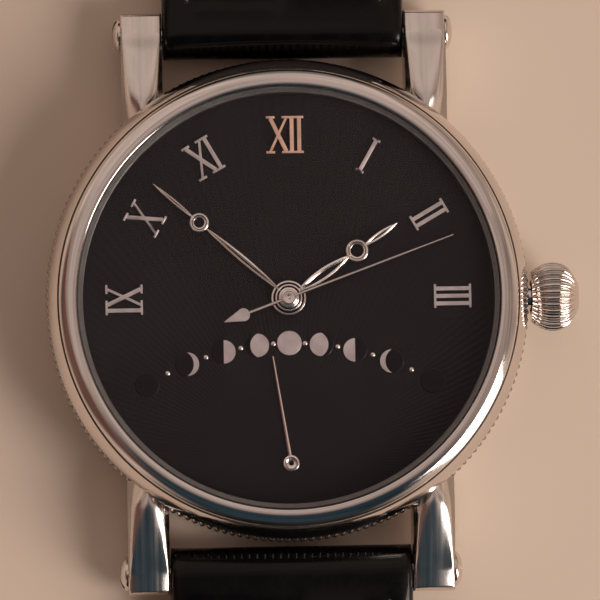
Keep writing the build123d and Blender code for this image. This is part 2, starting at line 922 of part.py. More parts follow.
lever_pivot = (stem_groove_at, -lever_reach)
lever_nose = stem_groove_radius + run_gap
with BuildPart() as setting_lever:
    with BuildSketch(Plane.XY.offset(lever_level)):
        with Locations(lever_pivot):
            Circle(lever_width)
        with Locations((stem_groove_at, -(lever_reach + stem_radius) / 2 - run_gap)):
            Rectangle(lever_width, lever_reach - stem_radius - 2 * run_gap)
        with Locations((stem_groove_at, -stem_radius - lever_nose / 2)):
            Rectangle(stem_groove_width / 2, 2 * stem_radius - lever_nose)
        with Locations(lever_pivot):
            Circle(lever_width / 2 + run_gap, mode=Mode.SUBTRACT)
    extrude(amount=lever_thickness)
keep(setting_lever, "setting_lever")

yoke_groove_at = clutch_at + clutch_length / 2
yoke_pivot = (yoke_groove_at - clutch_travel / 2, -yoke_reach)
yoke_tip = (yoke_groove_at, -stem_radius - clutch_groove_wall - run_gap)
yoke_length = between(yoke_pivot, yoke_tip)
yoke_nose = winding_pinion_radius - stem_radius + run_gap
with BuildPart() as yoke:
    with BuildSketch(turned_level(yoke_pivot, lever_level, bearing(yoke_pivot, yoke_tip) - 90)):
        Circle(lever_width / 2)
        with Locations((0, (yoke_length - yoke_nose) / 2)):
            Rectangle(lever_width / 2, yoke_length - yoke_nose)
        with Locations((0, yoke_length - yoke_nose / 2)):
            Rectangle(clutch_length / 6, yoke_nose)
        Circle(lever_width / 4 + run_gap, mode=Mode.SUBTRACT)
    extrude(amount=lever_thickness)
keep(yoke, "yoke")

# Rotor: a half disc with a heavy rim, that turns on the train bridge's bearing post
with BuildPart() as rotor:
    with BuildSketch(Plane.XY.offset(rotor_level)):
        Circle(rotor_radius)
        with Locations((0, rotor_radius)):
            Rectangle(2 * rotor_radius, 2 * rotor_radius, mode=Mode.SUBTRACT)
        Circle(rotor_hub_radius)
    extrude(amount=rotor_plate_thickness)
    with BuildSketch(Plane.XY.offset(rotor_level)):
        Circle(rotor_radius)
        Circle(rotor_radius - rotor_rim_width, mode=Mode.SUBTRACT)
        with Locations((0, rotor_radius)):
            Rectangle(2 * rotor_radius, 2 * rotor_radius, mode=Mode.SUBTRACT)
    extrude(amount=rotor_rim_height)
    disc(centre, rotor_level, rotor_rim_height, rotor_post_radius + run_gap, mode=Mode.SUBTRACT)
keep(rotor, "rotor")

# Bridges: plates split by straight gaps, on pillars that stand on the main plate
bridge_edge_shares = [(0.01, 1), (0.01, 0.64), (0.14, 0.5), (0.14, 0.24), (0.22, 0.11), (0.22, -0.17)]
split_edge = [(bridge_radius * x, bridge_radius * y) for x, y in bridge_edge_shares]
pillar_reach = bridge_radius - pillar_radius - run_gap
barrel_pillars = [polar(centre, pillar_reach, turn) for turn in barrel_pillar_angles]
train_pillars = [polar(centre, pillar_reach, turn) for turn in train_pillar_angles]
cock_pillars = [polar(balance_at, balance_radius + pillar_radius + cock_clearance, cock_angle)]
all_pillars = barrel_pillars + train_pillars + cock_pillars


def bridge_plate(outline, pillars, holes):
    """Add a bridge: its outline inside the bridge circle, pillars, screw holes and jewel holes."""
    with BuildSketch(Plane.XY.offset(bridge_level)) as face:
        with BuildLine():
            Polyline(*outline, close=True)
        make_face()
        Circle(bridge_radius, mode=Mode.INTERSECT)
    extrude(face.sketch, amount=bridge_thickness)
    for pillar in pillars:
        disc(pillar, bridge_top, plate_level - bridge_top, pillar_radius)
        disc(
            pillar,
            bridge_level - overrun,
            plate_level - bridge_level + 2 * overrun,
            bridge_screw_radius + seat_gap,
            mode=Mode.SUBTRACT,
        )
    for hole in holes:
        disc(
            hole,
            bridge_level - overrun,
            bridge_thickness + 2 * overrun,
            jewel_radius + seat_gap / 2,
            mode=Mode.SUBTRACT,
        )


with BuildPart() as barrel_bridge:
    bridge_plate(
        split_edge + [(bridge_radius, split_edge[-1][1]), (bridge_radius, bridge_radius)],
        barrel_pillars,
        [],
    )
    for hole, radius in ((barrel_at, barrel_arbor_radius), (crown_wheel_at, crown_wheel_hub_radius)):
        disc(
            hole,
            bridge_level - overrun,
            bridge_thickness + 2 * overrun,
            radius + run_gap,
            mode=Mode.SUBTRACT,
        )
keep(barrel_bridge, "barrel_bridge")

train_edge = [(x - bridge_split, y) for x, y in split_edge]
train_low = escape_at[1] - jewel_radius - 5 * bridge_split
with BuildPart() as train_bridge:
    bridge_plate(
        train_edge
        + [
            (train_edge[-1][0], train_low),
            (-bridge_radius, train_low),
            (-bridge_radius, bridge_radius),
        ],
        train_pillars,
        [centre, second_at, third_at, escape_at],
    )
    flange_low = rotor_level - rotor_flange - run_gap
    flange_high = rotor_level + rotor_plate_thickness + run_gap
    disc(centre, flange_low, bridge_level - flange_low, rotor_post_radius)
    disc(centre, flange_low, rotor_flange, rotor_flange_radius)
    disc(centre, flange_high, bridge_level - flange_high, rotor_flange_radius)
keep(train_bridge, "train_bridge")

cock_foot = cock_pillars[0]
with BuildPart() as balance_cock:
    with BuildSketch(Plane.XY.offset(bridge_level)) as cock_face:
        with Locations(cock_foot):
            Circle(cock_foot_radius)
        with Locations(balance_at):
            Circle(cock_head_radius)
        with Locations(
            Location(
                (
                    (cock_foot[0] + balance_at[0]) / 2,
                    (cock_foot[1] + balance_at[1]) / 2,
                ),
                bearing(cock_foot, balance_at),
            )
        ):
            Rectangle(between(cock_foot, balance_at), cock_width)
    extrude(amount=bridge_thickness)
    disc(cock_foot, bridge_top, plate_level - bridge_top, pillar_radius)
    disc(
        cock_foot,
        bridge_level - overrun,
        plate_level - bridge_level + 2 * overrun,
        bridge_screw_radius + seat_gap,
        mode=Mode.SUBTRACT,
    )
    disc(
        balance_at,
        bridge_level - overrun,
        bridge_thickness + 2 * overrun,
        jewel_radius + seat_gap / 2,
        mode=Mode.SUBTRACT,
    )
keep(balance_cock, "balance_cock")

pallet_bridge_low = balance_level + balance_thickness + 2 * run_gap
pallet_bridge_top = escape_level - 2 * run_gap
pallet_feet = [polar(pallet_at, pallet_foot_reach, pallet_angle + turn) for turn in (90, -90)]
with BuildPart() as pallet_bridge:
    with BuildSketch(Plane.XY.offset(pallet_bridge_low)) as pallet_bar:
        with Locations(Location(pallet_at, pallet_angle + 90)):
            SlotCenterToCenter(2 * pallet_foot_reach, pallet_bridge_width)
        with Locations(pallet_at):
            Circle(pivot_radius + run_gap, mode=Mode.SUBTRACT)
    extrude(amount=pallet_bridge_top - pallet_bridge_low)
    for foot in pallet_feet:
        disc(foot, pallet_bridge_top, plate_level - pallet_bridge_top, jewel_radius / 2)
keep(pallet_bridge, "pallet_bridge")

# Main plate: a disc with pillar screw holes, jewel holes, the centre tube and the moon pivot hole
tube_top = minute_hand_level - run_gap
dial_feet = [polar(centre, dial_foot_reach, turn) for turn in (60, 210)]
with BuildPart() as main_plate:
    disc(centre, plate_level, plate_thickness, plate_radius)
    for hole in [second_at, third_at, escape_at, balance_at]:
        disc(hole, plate_level, plate_thickness, jewel_radius + seat_gap / 2, mode=Mode.SUBTRACT)
    for pillar in all_pillars:
        disc(
            pillar,
            plate_level,
            bridge_screw_length - (plate_level - bridge_level) + seat_gap,
            bridge_screw_radius + seat_gap,
            mode=Mode.SUBTRACT,
        )
    for foot in dial_feet:
        disc(
            foot,
            dial_level - dial_foot_length - seat_gap,
            dial_foot_length,
            dial_foot_radius + seat_gap,
            mode=Mode.SUBTRACT,
        )
    disc(centre, plate_top, tube_top - plate_top, centre_tube_radius)
    disc(
        centre, plate_level, tube_top - plate_level, arbor_radius + run_gap, mode=Mode.SUBTRACT
    )
    disc(pallet_at, plate_level, plate_thickness / 2, pivot_radius + run_gap, mode=Mode.SUBTRACT)
    disc(
        barrel_at,
        plate_level,
        plate_thickness / 2,
        barrel_arbor_radius + run_gap,
        mode=Mode.SUBTRACT,
    )
    disc(
        moon_at,
        plate_level,
        plate_thickness,
        arbor_radius + run_gap,
        mode=Mode.SUBTRACT,
    )
    for post in (minute_at, day_at, rack_at, cam_at):
        disc(post, plate_top, dial_level - plate_top - seat_gap, arbor_radius)
    disc(lever_pivot, lever_level, plate_level - lever_level, lever_width / 2)
    disc(yoke_pivot, lever_level, plate_level - lever_level, lever_width / 4)
keep(main_plate, "main_plate")

with BuildPart() as movement_ring:
    ring(centre, ring_level, dial_level - ring_level - seat_gap, ring_outer_radius, ring_inner_radius)
    with BuildSketch(Plane.YZ.offset(ring_inner_radius - overrun)):
        with Locations((0, stem_height)):
            Circle(tube_radius)
    extrude(amount=ring_outer_radius - ring_inner_radius + 2 * overrun, mode=Mode.SUBTRACT)
keep(movement_ring, "movement_ring")

with BuildPart() as bridge_screws:
    for pillar in all_pillars:
        disc(
            pillar,
            bridge_level - bridge_screw_head_height - seat_gap,
            bridge_screw_head_height,
            bridge_screw_head_radius,
        )
        disc(
            pillar, bridge_level - seat_gap, bridge_screw_length - seat_gap, bridge_screw_radius
        )
    with BuildSketch(Plane.XY.offset(bridge_level - bridge_screw_head_height - seat_gap)):
        with Locations(*all_pillars):
            Rectangle(2 * bridge_screw_head_radius, bridge_screw_radius / 2)
    extrude(amount=bridge_screw_head_height / 2, mode=Mode.SUBTRACT)
keep(bridge_screws, "bridge_screws")

bridge_jewel_level = bridge_level + (bridge_thickness - jewel_thickness) / 2
plate_jewel_level = plate_level + (plate_thickness - jewel_thickness) / 2
with BuildPart() as jewels:
    for place in [centre] + bearings_at:
        ring(place, bridge_jewel_level, jewel_thickness, jewel_radius, pivot_radius + run_gap)
    for place in bearings_at[1:]:
        ring(place, plate_jewel_level, jewel_thickness, jewel_radius, pivot_radius + run_gap)
    ring(
        second_at,
        plate_jewel_level,
        jewel_thickness,
        jewel_radius,
        arbor_radius + run_gap,
    )
keep(jewels, "jewels")

# Barrel with its spring, and the winding wheels on the bridge
with BuildPart() as barrel:
    disc(barrel_at, barrel_level, drum_height, drum_radius)
    gear(
        barrel_at, barrel_level, 2 * wheel_thickness, barrel_teeth, barrel_module, 0
    )
    with BuildSketch(level(barrel_at, barrel_level + drum_wall)):
        Circle(drum_radius - drum_wall)
    extrude(amount=drum_height - 2 * drum_wall, mode=Mode.SUBTRACT)
    disc(barrel_at, barrel_level, drum_height, barrel_arbor_radius + run_gap, mode=Mode.SUBTRACT)
keep(barrel, "barrel")

with BuildPart() as mainspring:
    spiral_strip(
        barrel_at,
        barrel_level + drum_wall + seat_gap,
        drum_height - 2 * drum_wall - 2 * seat_gap,
        mainspring_inner,
        mainspring_outer,
        mainspring_strip,
        mainspring_turns,
    )
keep(mainspring, "mainspring")

ratchet_phase = 0
crown_wheel_phase = mesh_phase(
    barrel_at, ratchet_teeth, ratchet_phase, crown_wheel_at, crown_wheel_teeth
)
with BuildPart() as ratchet_wheel:
    gear(
        barrel_at,
        winding_level,
        winding_wheel_thickness,
        ratchet_teeth,
        winding_module,
        ratchet_phase,
    )
    arbor_high = plate_level + plate_thickness / 2 - end_shake
    disc(barrel_at, winding_level, arbor_high - winding_level, barrel_arbor_radius)
keep(ratchet_wheel, "ratchet_wheel")

crown_wheel_low = stem_height - winding_pinion_radius - run_gap
with BuildPart() as crown_wheel:
    gear(
        crown_wheel_at,
        winding_level,
        winding_wheel_thickness,
        crown_wheel_teeth,
        winding_module,
        crown_wheel_phase,
    )
    ring(
        crown_wheel_at,
        winding_level,
        crown_wheel_low - winding_level,
        crown_wheel_hub_radius,
        crown_wheel_hub_radius - crown_wheel_hub_wall,
    )
    with BuildSketch(level(crown_wheel_at, crown_wheel_low - 3 * run_gap)):
        with PolarLocations(crown_wheel_hub_radius - crown_wheel_hub_wall / 2, contrate_teeth):
            Rectangle(2 * crown_wheel_hub_wall, 3 * run_gap)
    extrude(amount=3 * run_gap, mode=Mode.SUBTRACT)
keep(crown_wheel, "crown_wheel")

# Going train, each wheel turned so that it stands in mesh
second_pinion_phase = mesh_phase(barrel_at, barrel_teeth, 0, second_at, second_leaves)
third_pinion_phase = mesh_phase(second_at, second_teeth, 0, third_at, third_leaves)
fourth_pinion_phase = mesh_phase(third_at, third_teeth, 0, centre, fourth_leaves)
escape_pinion_phase = mesh_phase(centre, fourth_teeth, 0, escape_at, escape_leaves)
cannon_level = motion_level + motion_step
hour_level = cannon_level + motion_step
minute_phase = mesh_phase(centre, cannon_leaves, 0, minute_at, minute_teeth)
driver_phase = mesh_phase(minute_at, minute_teeth, minute_phase, second_at, cannon_leaves)
with BuildPart() as second_wheel:
    arbor(second_at)
    gear(second_at, second_level, wheel_thickness, second_teeth, second_module, 0)
    gear(
        second_at,
        barrel_level,
        second_level - barrel_level,
        second_leaves,
        barrel_module,
        second_pinion_phase,
    )
    disc(second_at, plate_level, cannon_level - plate_level, arbor_radius)
    gear(
        second_at,
        cannon_level,
        motion_step - run_gap,
        cannon_leaves,
        motion_module,
        driver_phase,
    )
keep(second_wheel, "second_wheel")

with BuildPart() as third_wheel:
    arbor(third_at)
    gear(third_at, third_level, wheel_thickness, third_teeth, third_module, 0)
    gear(
        third_at,
        second_level - wheel_thickness / 2,
        2 * wheel_thickness,
        third_leaves,
        second_module,
        third_pinion_phase,
    )
keep(third_wheel, "third_wheel")

with BuildPart() as fourth_wheel:
    disc(centre, bridge_top + end_shake, seconds_hand_level - bridge_top - end_shake, arbor_radius)
    disc(centre, bridge_jewel_level, bridge_thickness, pivot_radius)
    gear(centre, fourth_level, wheel_thickness, fourth_teeth, fourth_module, 0)
    gear(
        centre,
        bridge_top + 2 * end_shake,
        fourth_level - bridge_top - 2 * end_shake,
        fourth_leaves,
        third_module,
        fourth_pinion_phase,
    )
keep(fourth_wheel, "fourth_wheel")

tooth_pitch = 360 / escape_teeth
tooth_shares = [(0.72, 0), (1, 0.55), (0.96, 0.7), (0.72, 0.45)]
with BuildPart() as escape_wheel:
    arbor(escape_at)
    gear(
        escape_at,
        fourth_level - end_shake,
        escape_level - fourth_level + end_shake,
        escape_leaves,
        fourth_module,
        escape_pinion_phase,
    )
    with BuildSketch(level(escape_at, escape_level)) as escape_face:
        Circle(escape_rim_radius)
        Circle(escape_rim_radius - escape_rim, mode=Mode.SUBTRACT)
        Circle(escape_hub_radius)
        with PolarLocations((escape_rim_radius + escape_hub_radius) / 2 - escape_rim / 2, 4):
            Rectangle(escape_rim_radius - escape_hub_radius, escape_arm)
        for tooth in range(escape_teeth):
            with BuildLine():
                Polyline(
                    *[
                        polar(centre, radius_share * escape_radius, (tooth + turn_share) * tooth_pitch)
                        for radius_share, turn_share in tooth_shares
                    ],
                    close=True,
                )
            make_face()
    extrude(amount=wheel_thickness)
keep(escape_wheel, "escape_wheel")

stone_angles = (pallet_angle - stone_spread, pallet_angle + stone_spread)
stone_reach = escape_radius + stone_clearance
fork_tail = balance_distance - roller_radius - 2 * run_gap
with BuildPart() as pallet_fork:
    with BuildSketch(Plane.XY.offset(escape_level)):
        with Locations(pallet_at):
            Circle(fork_hub_radius)
        for angle in stone_angles:
            stone = polar(escape_at, stone_reach + jewel_radius / 2, angle)
            with Locations(
                Location(
                    ((pallet_at[0] + stone[0]) / 2, (pallet_at[1] + stone[1]) / 2),
                    bearing(pallet_at, stone),
                )
            ):
                Rectangle(between(pallet_at, stone) + jewel_radius / 2, jewel_radius / 2)
        tail_middle = polar(pallet_at, fork_tail / 2, balance_angle)
        with Locations(Location(tail_middle, balance_angle)):
            Rectangle(fork_tail, jewel_radius / 2)
    extrude(amount=fork_thickness)
    disc(
        pallet_at,
        pallet_bridge_low + run_gap,
        plate_level + plate_thickness / 2 - pallet_bridge_low - 2 * run_gap,
        pivot_radius,
    )
keep(pallet_fork, "pallet_fork")

with BuildPart() as balance_wheel:
    arbor(balance_at)
    with BuildSketch(level(balance_at, balance_level)) as balance_face:
        Circle(balance_radius)
        Circle(balance_radius - balance_rim, mode=Mode.SUBTRACT)
        Rectangle(2 * balance_radius - balance_rim, balance_arm)
        Circle(2 * balance_arm)
    extrude(amount=balance_thickness)
    disc(
        balance_at,
        escape_level,
        fork_thickness,
        roller_radius,
    )
keep(balance_wheel, "balance_wheel")

with BuildPart() as hairspring:
    spiral_strip(
        balance_at,
        hairspring_level,
        hairspring_height,
        hairspring_inner,
        hairspring_outer,
        hairspring_strip,
        hairspring_turns,
    )
    ring(
        balance_at,
        hairspring_level,
        hairspring_height,
        hairspring_inner,
        arbor_radius + seat_gap,
    )
keep(hairspring, "hairspring")

# Motion works under the dial
minute_pinion_phase = 0
hour_phase = mesh_phase(minute_at, minute_leaves, minute_pinion_phase, centre, hour_teeth)
day_phase = mesh_phase(centre, hour_teeth, hour_phase, day_at, day_teeth)
with BuildPart() as cannon_pinion:
    gear(centre, cannon_level, motion_step - run_gap, cannon_leaves, motion_module, 0)
    disc(centre, motion_level, minute_hand_level - motion_level, cannon_radius)
    disc(
        centre,
        motion_level,
        minute_hand_level - motion_level,
        centre_tube_radius + run_gap,
        mode=Mode.SUBTRACT,
    )
keep(cannon_pinion, "cannon_pinion")

with BuildPart() as minute_wheel:
    gear(
        minute_at, cannon_level, motion_step - 2 * run_gap, minute_teeth, motion_module, minute_phase
    )
    gear(
        minute_at,
        cannon_level,
        2 * motion_step - 2 * run_gap,
        minute_leaves,
        hour_module,
        minute_pinion_phase,
    )
    disc(minute_at, cannon_level, 2 * motion_step, arbor_radius + run_gap, mode=Mode.SUBTRACT)
keep(minute_wheel, "minute_wheel")

with BuildPart() as hour_wheel:
    gear(centre, hour_level, motion_step - 2 * run_gap, hour_teeth, hour_module, hour_phase)
    disc(centre, hour_level, hour_hand_level - hour_level, hour_pipe_radius)
    disc(
        centre,
        hour_level,
        hour_hand_level - hour_level,
        cannon_radius + run_gap,
        mode=Mode.SUBTRACT,
    )
keep(hour_wheel, "hour_wheel")

# Moon works: a wheel that turns once a day, the star wheel with the snail cam, and the rack
finger_reach = between(day_at, cam_at) - moon_star_radius - 2 * run_gap
with BuildPart() as day_wheel:
    gear(day_at, hour_level, motion_step - 2 * run_gap, day_teeth, hour_module, day_phase)
    disc(day_at, motion_level, hour_level - motion_level, day_hub_radius)
    with BuildSketch(level(day_at, motion_level)):
        with Locations(
            Location(
                polar(centre, finger_reach / 2, bearing(day_at, cam_at) + 90),
                bearing(day_at, cam_at) + 90,
            )
        ):
            Rectangle(finger_reach, day_hub_radius)
    extrude(amount=motion_step - run_gap)
    disc(day_at, motion_level, 3 * motion_step, arbor_radius + run_gap, mode=Mode.SUBTRACT)
keep(day_wheel, "day_wheel")

cam_ratio = cam_turn / (moon_sweep_left + moon_sweep_right)
rack_ratio = moon_leaves / rack_circle_teeth
cam_steps = 24
cam_points = []
for step in range(cam_steps + 1):
    hand_turn = -moon_sweep_right + (moon_sweep_left + moon_sweep_right) * step / cam_steps
    arm_tip = polar(rack_at, cam_arm_length, cam_arm_angle - rack_ratio * hand_turn)
    reach = between(cam_at, arm_tip) - jewel_radius / 2 - 2 * run_gap
    cam_points.append(polar(centre, reach, bearing(cam_at, arm_tip) - cam_ratio * hand_turn))
with BuildPart() as moon_cam:
    gear(
        cam_at,
        motion_level,
        motion_step - run_gap,
        moon_star_teeth,
        2 * moon_star_radius / (moon_star_teeth + 2 * tooth_addendum_share),
        0,
    )
    with BuildSketch(level(cam_at, motion_level)):
        with BuildLine():
            snail = Spline(*cam_points)
            Line(snail @ 1, snail @ 0)
        make_face()
    extrude(amount=2 * motion_step - run_gap)
    disc(cam_at, motion_level, 2 * motion_step, arbor_radius + run_gap, mode=Mode.SUBTRACT)
keep(moon_cam, "moon_cam")

rack_root = rack_module * (rack_circle_teeth / 2 - tooth_dedendum_share)
rack_tip = rack_module * (rack_circle_teeth / 2 + tooth_addendum_share)
rack_line = bearing(rack_at, moon_at)
rack_pitch = 360 / rack_circle_teeth
with BuildPart() as moon_rack:
    with BuildSketch(level(rack_at, cannon_level)) as rack_face:
        with BuildLine():
            Polyline(
                centre,
                *[
                    polar(centre, radius, rack_line + (tooth + share) * rack_pitch)
                    for tooth in range(-(rack_teeth // 2), rack_teeth // 2 + 1)
                    for radius, share in (
                        (rack_root, -tooth_root_share),
                        (rack_tip, -tooth_tip_share),
                        (rack_tip, tooth_tip_share),
                        (rack_root, tooth_root_share),
                    )
                ],
                close=True,
            )
        make_face()
        Circle(2 * jewel_radius)
        with Locations(Location(polar(centre, cam_arm_length / 2, cam_arm_angle), cam_arm_angle)):
            Rectangle(cam_arm_length, jewel_radius)
        with Locations(polar(centre, cam_arm_length, cam_arm_angle)):
            Circle(jewel_radius / 2)
        Circle(arbor_radius + run_gap, mode=Mode.SUBTRACT)
    extrude(amount=motion_step - run_gap)
keep(moon_rack, "moon_rack")

# Dial and what is applied to it
with BuildPart() as dial:
    disc(centre, dial_level, dial_thickness, dial_radius)
    disc(centre, dial_level, dial_thickness, hour_pipe_radius + 2 * run_gap, mode=Mode.SUBTRACT)
    disc(moon_at, dial_level, dial_thickness, arbor_radius + 2 * run_gap, mode=Mode.SUBTRACT)
    for foot in dial_feet:
        disc(foot, dial_level - dial_foot_length, dial_foot_length, dial_foot_radius)
keep(dial, "dial")


def bar(start, end, width):
    """A straight stroke of a numeral, from one point to another."""
    middle = ((start[0] + end[0]) / 2, (start[1] + end[1]) / 2)
    with Locations(Location(middle, bearing(start, end))):
        Rectangle(between(start, end), width)


def numeral_strokes(letters):
    """The strokes of a Roman numeral: start, end and width, centred on the numeral's middle."""
    top = numeral_height / 2
    width_of = {"I": stroke_pitch, "X": cross_width + thick_stroke}
    cursor = -sum(width_of[letter] for letter in letters) / 2
    strokes = []
    for letter in letters:
        middle = cursor + width_of[letter] / 2
        feet = [middle]
        if letter == "I":
            strokes.append(((middle, -top), (middle, top), thick_stroke))
        else:
            low, high = middle - cross_width / 2, middle + cross_width / 2
            strokes.append(((low, top - serif_height), (high, serif_height - top), thick_stroke))
            strokes.append(((low, serif_height - top), (high, top - serif_height), thin_stroke))
            feet = [low, high]
        for foot in feet:
            for level_sign in (-1, 1):
                edge = level_sign * (top - serif_height / 2)
                strokes.append(
                    ((foot - serif_width / 2, edge), (foot + serif_width / 2, edge), serif_height)
                )
        cursor += width_of[letter]
    return strokes


hour_letters = {1: "I", 2: "II", 3: "III", 9: "IX", 10: "X", 11: "XI"}
with BuildPart() as hour_numerals:
    for hour, letters in hour_letters.items():
        with BuildSketch(clock_plane(hour * 30, numeral_radius, dial_top)) as face:
            for start, end, width in numeral_strokes(letters):
                with Locations(
                    Location(
                        ((start[0] + end[0]) / 2, (start[1] + end[1]) / 2), bearing(start, end)
                    )
                ):
                    Rectangle(between(start, end), width)
        extrude(face.sketch, amount=numeral_relief)
keep(hour_numerals, "hour_numerals")

with BuildPart() as numeral_twelve:
    with BuildSketch(clock_plane(0, numeral_radius, dial_top)) as face:
        for start, end, width in numeral_strokes("XII"):
            with Locations(
                Location(((start[0] + end[0]) / 2, (start[1] + end[1]) / 2), bearing(start, end))
            ):
                Rectangle(between(start, end), width)
    extrude(face.sketch, amount=numeral_relief)
keep(numeral_twelve, "numeral_twelve")

# Nine moons on an arc: dark discs, with lit plates on them, and pips between
arc_drop = moon_arc_radius - moon_arc_top


def moon_place(angle):
    """The point of the moons' arc that the moon hand reaches at an angle from straight up."""
    rise = arc_drop * cos(radians(angle))
    return polar(moon_at, sqrt(rise**2 + moon_arc_radius**2 - arc_drop**2) - rise, 90 - angle)


moon_places = [moon_place(moon_step_angle * step) for step in range(-4, 5)]
pip_places = [moon_place(moon_step_angle * (2 * step + 1) / 2) for step in range(-4, 4)]
with BuildPart() as moon_discs_dark:
    with BuildSketch(Plane.XY.offset(dial_top)):
        with Locations(*(moon_places[:4] + moon_places[5:])):
            Circle(moon_disc_radius)
    extrude(amount=moon_disc_relief)
keep(moon_discs_dark, "moon_discs_dark")

lit_shadow_share = {1: 0.55, 2: 0, 3: -0.6}
lit_radius = moon_disc_radius - seat_gap
with BuildPart() as moon_discs_lit:
    for step, shadow_share in lit_shadow_share.items():
        for side in (-1, 1):
            place = moon_places[step] if side < 0 else moon_places[8 - step]
            with BuildSketch(level(place, dial_top + moon_disc_relief)) as face:
                Circle(lit_radius)
                with Locations((side * lit_radius, 0)):
                    Rectangle(2 * lit_radius, 2 * lit_radius, mode=Mode.SUBTRACT)
                if shadow_share > 0:
                    Ellipse(shadow_share * lit_radius, moon_disc_radius, mode=Mode.SUBTRACT)
                elif shadow_share < 0:
                    Ellipse(-shadow_share * lit_radius, lit_radius - seat_gap)
            extrude(face.sketch, amount=moon_plate_relief)
    disc(moon_places[4], dial_top, moon_disc_relief + moon_plate_relief, moon_disc_radius)
    for place in pip_places:
        disc(place, dial_top, pip_relief, pip_radius)
keep(moon_discs_lit, "moon_discs_lit")


# Hands
def leaf(start, end, width):
    """Draw a leaf shape along Y into the open sketch."""
    middle = (start + end) / 2
    with BuildSketch(mode=Mode.PRIVATE) as outline:
        with BuildLine():
            ThreePointArc((0, start), (width / 2, middle), (0, end))
            ThreePointArc((0, end), (-width / 2, middle), (0, start))
        make_face()
    return outline.sketch


def ringed_hand(plane, thickness, reach, ring_reach, ring_radius, ring_hole, widths, hub, hole):
    """Add a leaf hand with an open ring between its blade and its tip."""
    blade_width, tip_width = widths
    with BuildSketch(plane) as face:
        add(leaf(0, ring_reach, blade_width))
        add(leaf(ring_reach, reach, tip_width))
        Circle(hub)
        with Locations((0, ring_reach)):
            Circle(ring_radius)
            Circle(ring_hole, mode=Mode.SUBTRACT)
        Circle(hole, mode=Mode.SUBTRACT)
    extrude(face.sketch, amount=thickness)


with BuildPart() as hour_hand:
    ringed_hand(
        clock_plane(hour_hand_angle, 0, hour_hand_level),
        hour_hand_thickness,
        hour_hand_reach,
        hour_ring_reach,
        hour_ring_radius,
        hour_ring_hole,
        (hour_blade_width, hour_tip_width),
        hour_hub_radius,
        cannon_radius + run_gap,
    )
keep(hour_hand, "hour_hand")

with BuildPart() as minute_hand:
    ringed_hand(
        clock_plane(minute_hand_angle, 0, minute_hand_level),
        minute_hand_thickness,
        minute_hand_reach,
        minute_ring_reach,
        minute_ring_radius,
        minute_ring_hole,
        (minute_blade_width, minute_tip_width),
        minute_hub_radius,
        arbor_radius + run_gap,
    )
keep(minute_hand, "minute_hand")

with BuildPart() as seconds_hand:
    with BuildSketch(clock_plane(seconds_hand_angle, 0, seconds_hand_level)):
        with BuildLine():
            Polyline(
                (-seconds_rod_width / 2, -seconds_weight_reach),
                (seconds_rod_width / 2, -seconds_weight_reach),
                (seconds_point_width / 2, seconds_hand_reach),
                (-seconds_point_width / 2, seconds_hand_reach),
                close=True,
            )
        make_face()
        with Locations((0, -seconds_weight_reach)):
            Circle(seconds_weight_radius)
        with BuildLine():
            Polyline(
                polar((0, -seconds_weight_reach), seconds_weight_radius, -150),
                polar((0, -seconds_weight_reach), seconds_weight_radius, -30),
                (0, -seconds_tail_reach),
                close=True,
            )
        make_face()
        Circle(seconds_hub_radius)
    extrude(amount=seconds_hand_thickness)
keep(seconds_hand, "seconds_hand")

moon_pinion_phase = mesh_phase(rack_at, rack_circle_teeth, rack_line, moon_at, moon_leaves)
with BuildPart() as moon_hand:
    with BuildSketch(turned_level(moon_at, moon_hand_level, moon_rest_angle)):
        with BuildLine():
            Polyline(
                (-moon_hand_width / 2, 0),
                (moon_hand_width / 2, 0),
                (moon_hand_width / 4, moon_hand_reach),
                (-moon_hand_width / 4, moon_hand_reach),
                close=True,
            )
        make_face()
        Circle(moon_hub_radius)
    extrude(amount=moon_hand_thickness)
    gear(
        moon_at, cannon_level - run_gap, motion_step, moon_leaves, rack_module, moon_pinion_phase
    )
    moon_arbor_low = plate_level + end_shake
    disc(moon_at, moon_arbor_low, moon_hand_level - moon_arbor_low, arbor_radius)
keep(moon_hand, "moon_hand")


# Strap: two padded halves that turn on the strap bars
def strap_profile(length, lift, loop):
    """A half's side view in (y, z): round the strap bar, down to the table and out to its end."""
    with BuildSketch(Plane.YZ.offset(-strap_width / 2)) as face:
        with BuildLine():
            end = bar_reach + length
            even = bar_reach + strap_even_from
            Spline(
                (bar_reach, bar_height + strap_loop_radius),
                (bar_reach + strap_crest_at, lift + strap_crest),
                (bar_reach + strap_shoulder_at, lift + strap_shoulder),
                (even, lift + strap_thickness),
                tangents=((1, 0), (1, 0)),
            )
            Polyline(
                (even, lift + strap_thickness),
                (end, lift + strap_thickness),
                (end, lift),
                (bar_reach + strap_drop_length, lift),
                (bar_reach, bar_height - strap_loop_radius),
                (bar_reach, bar_height + strap_loop_radius),
            )
        make_face()
        with Locations((bar_reach, bar_height)):
            Circle(strap_loop_radius)
        if loop:
            with Locations((end, pin_height)):
                Circle(loop)
        with Locations((bar_reach, bar_height)):
            Circle(strap_bar_hole_radius, mode=Mode.SUBTRACT)
    extrude(face.sketch, amount=strap_width)


def trim_strap(end, tip_radius):
    """Trim a half to its outline in plan: tapered, then even, ending round."""
    root = bar_reach - strap_loop_radius - overrun
    crest = bar_reach + strap_crest_at
    taper_end = bar_reach + strap_taper_length
    corner = end - tip_radius
    with BuildSketch(Plane.XY.offset(-overrun)) as face:
        with BuildLine():
            Polyline((-half_width, root), (half_width, root), (half_width, crest), (half_end, taper_end))
            Polyline((half_end, taper_end), (half_end, corner))
            ThreePointArc((half_end, corner), (0, end), (-half_end, corner))
            Polyline((-half_end, corner), (-half_end, taper_end), (-half_width, crest), (-half_width, root))
        make_face()
    extrude(face.sketch, amount=strap_cut, mode=Mode.INTERSECT)


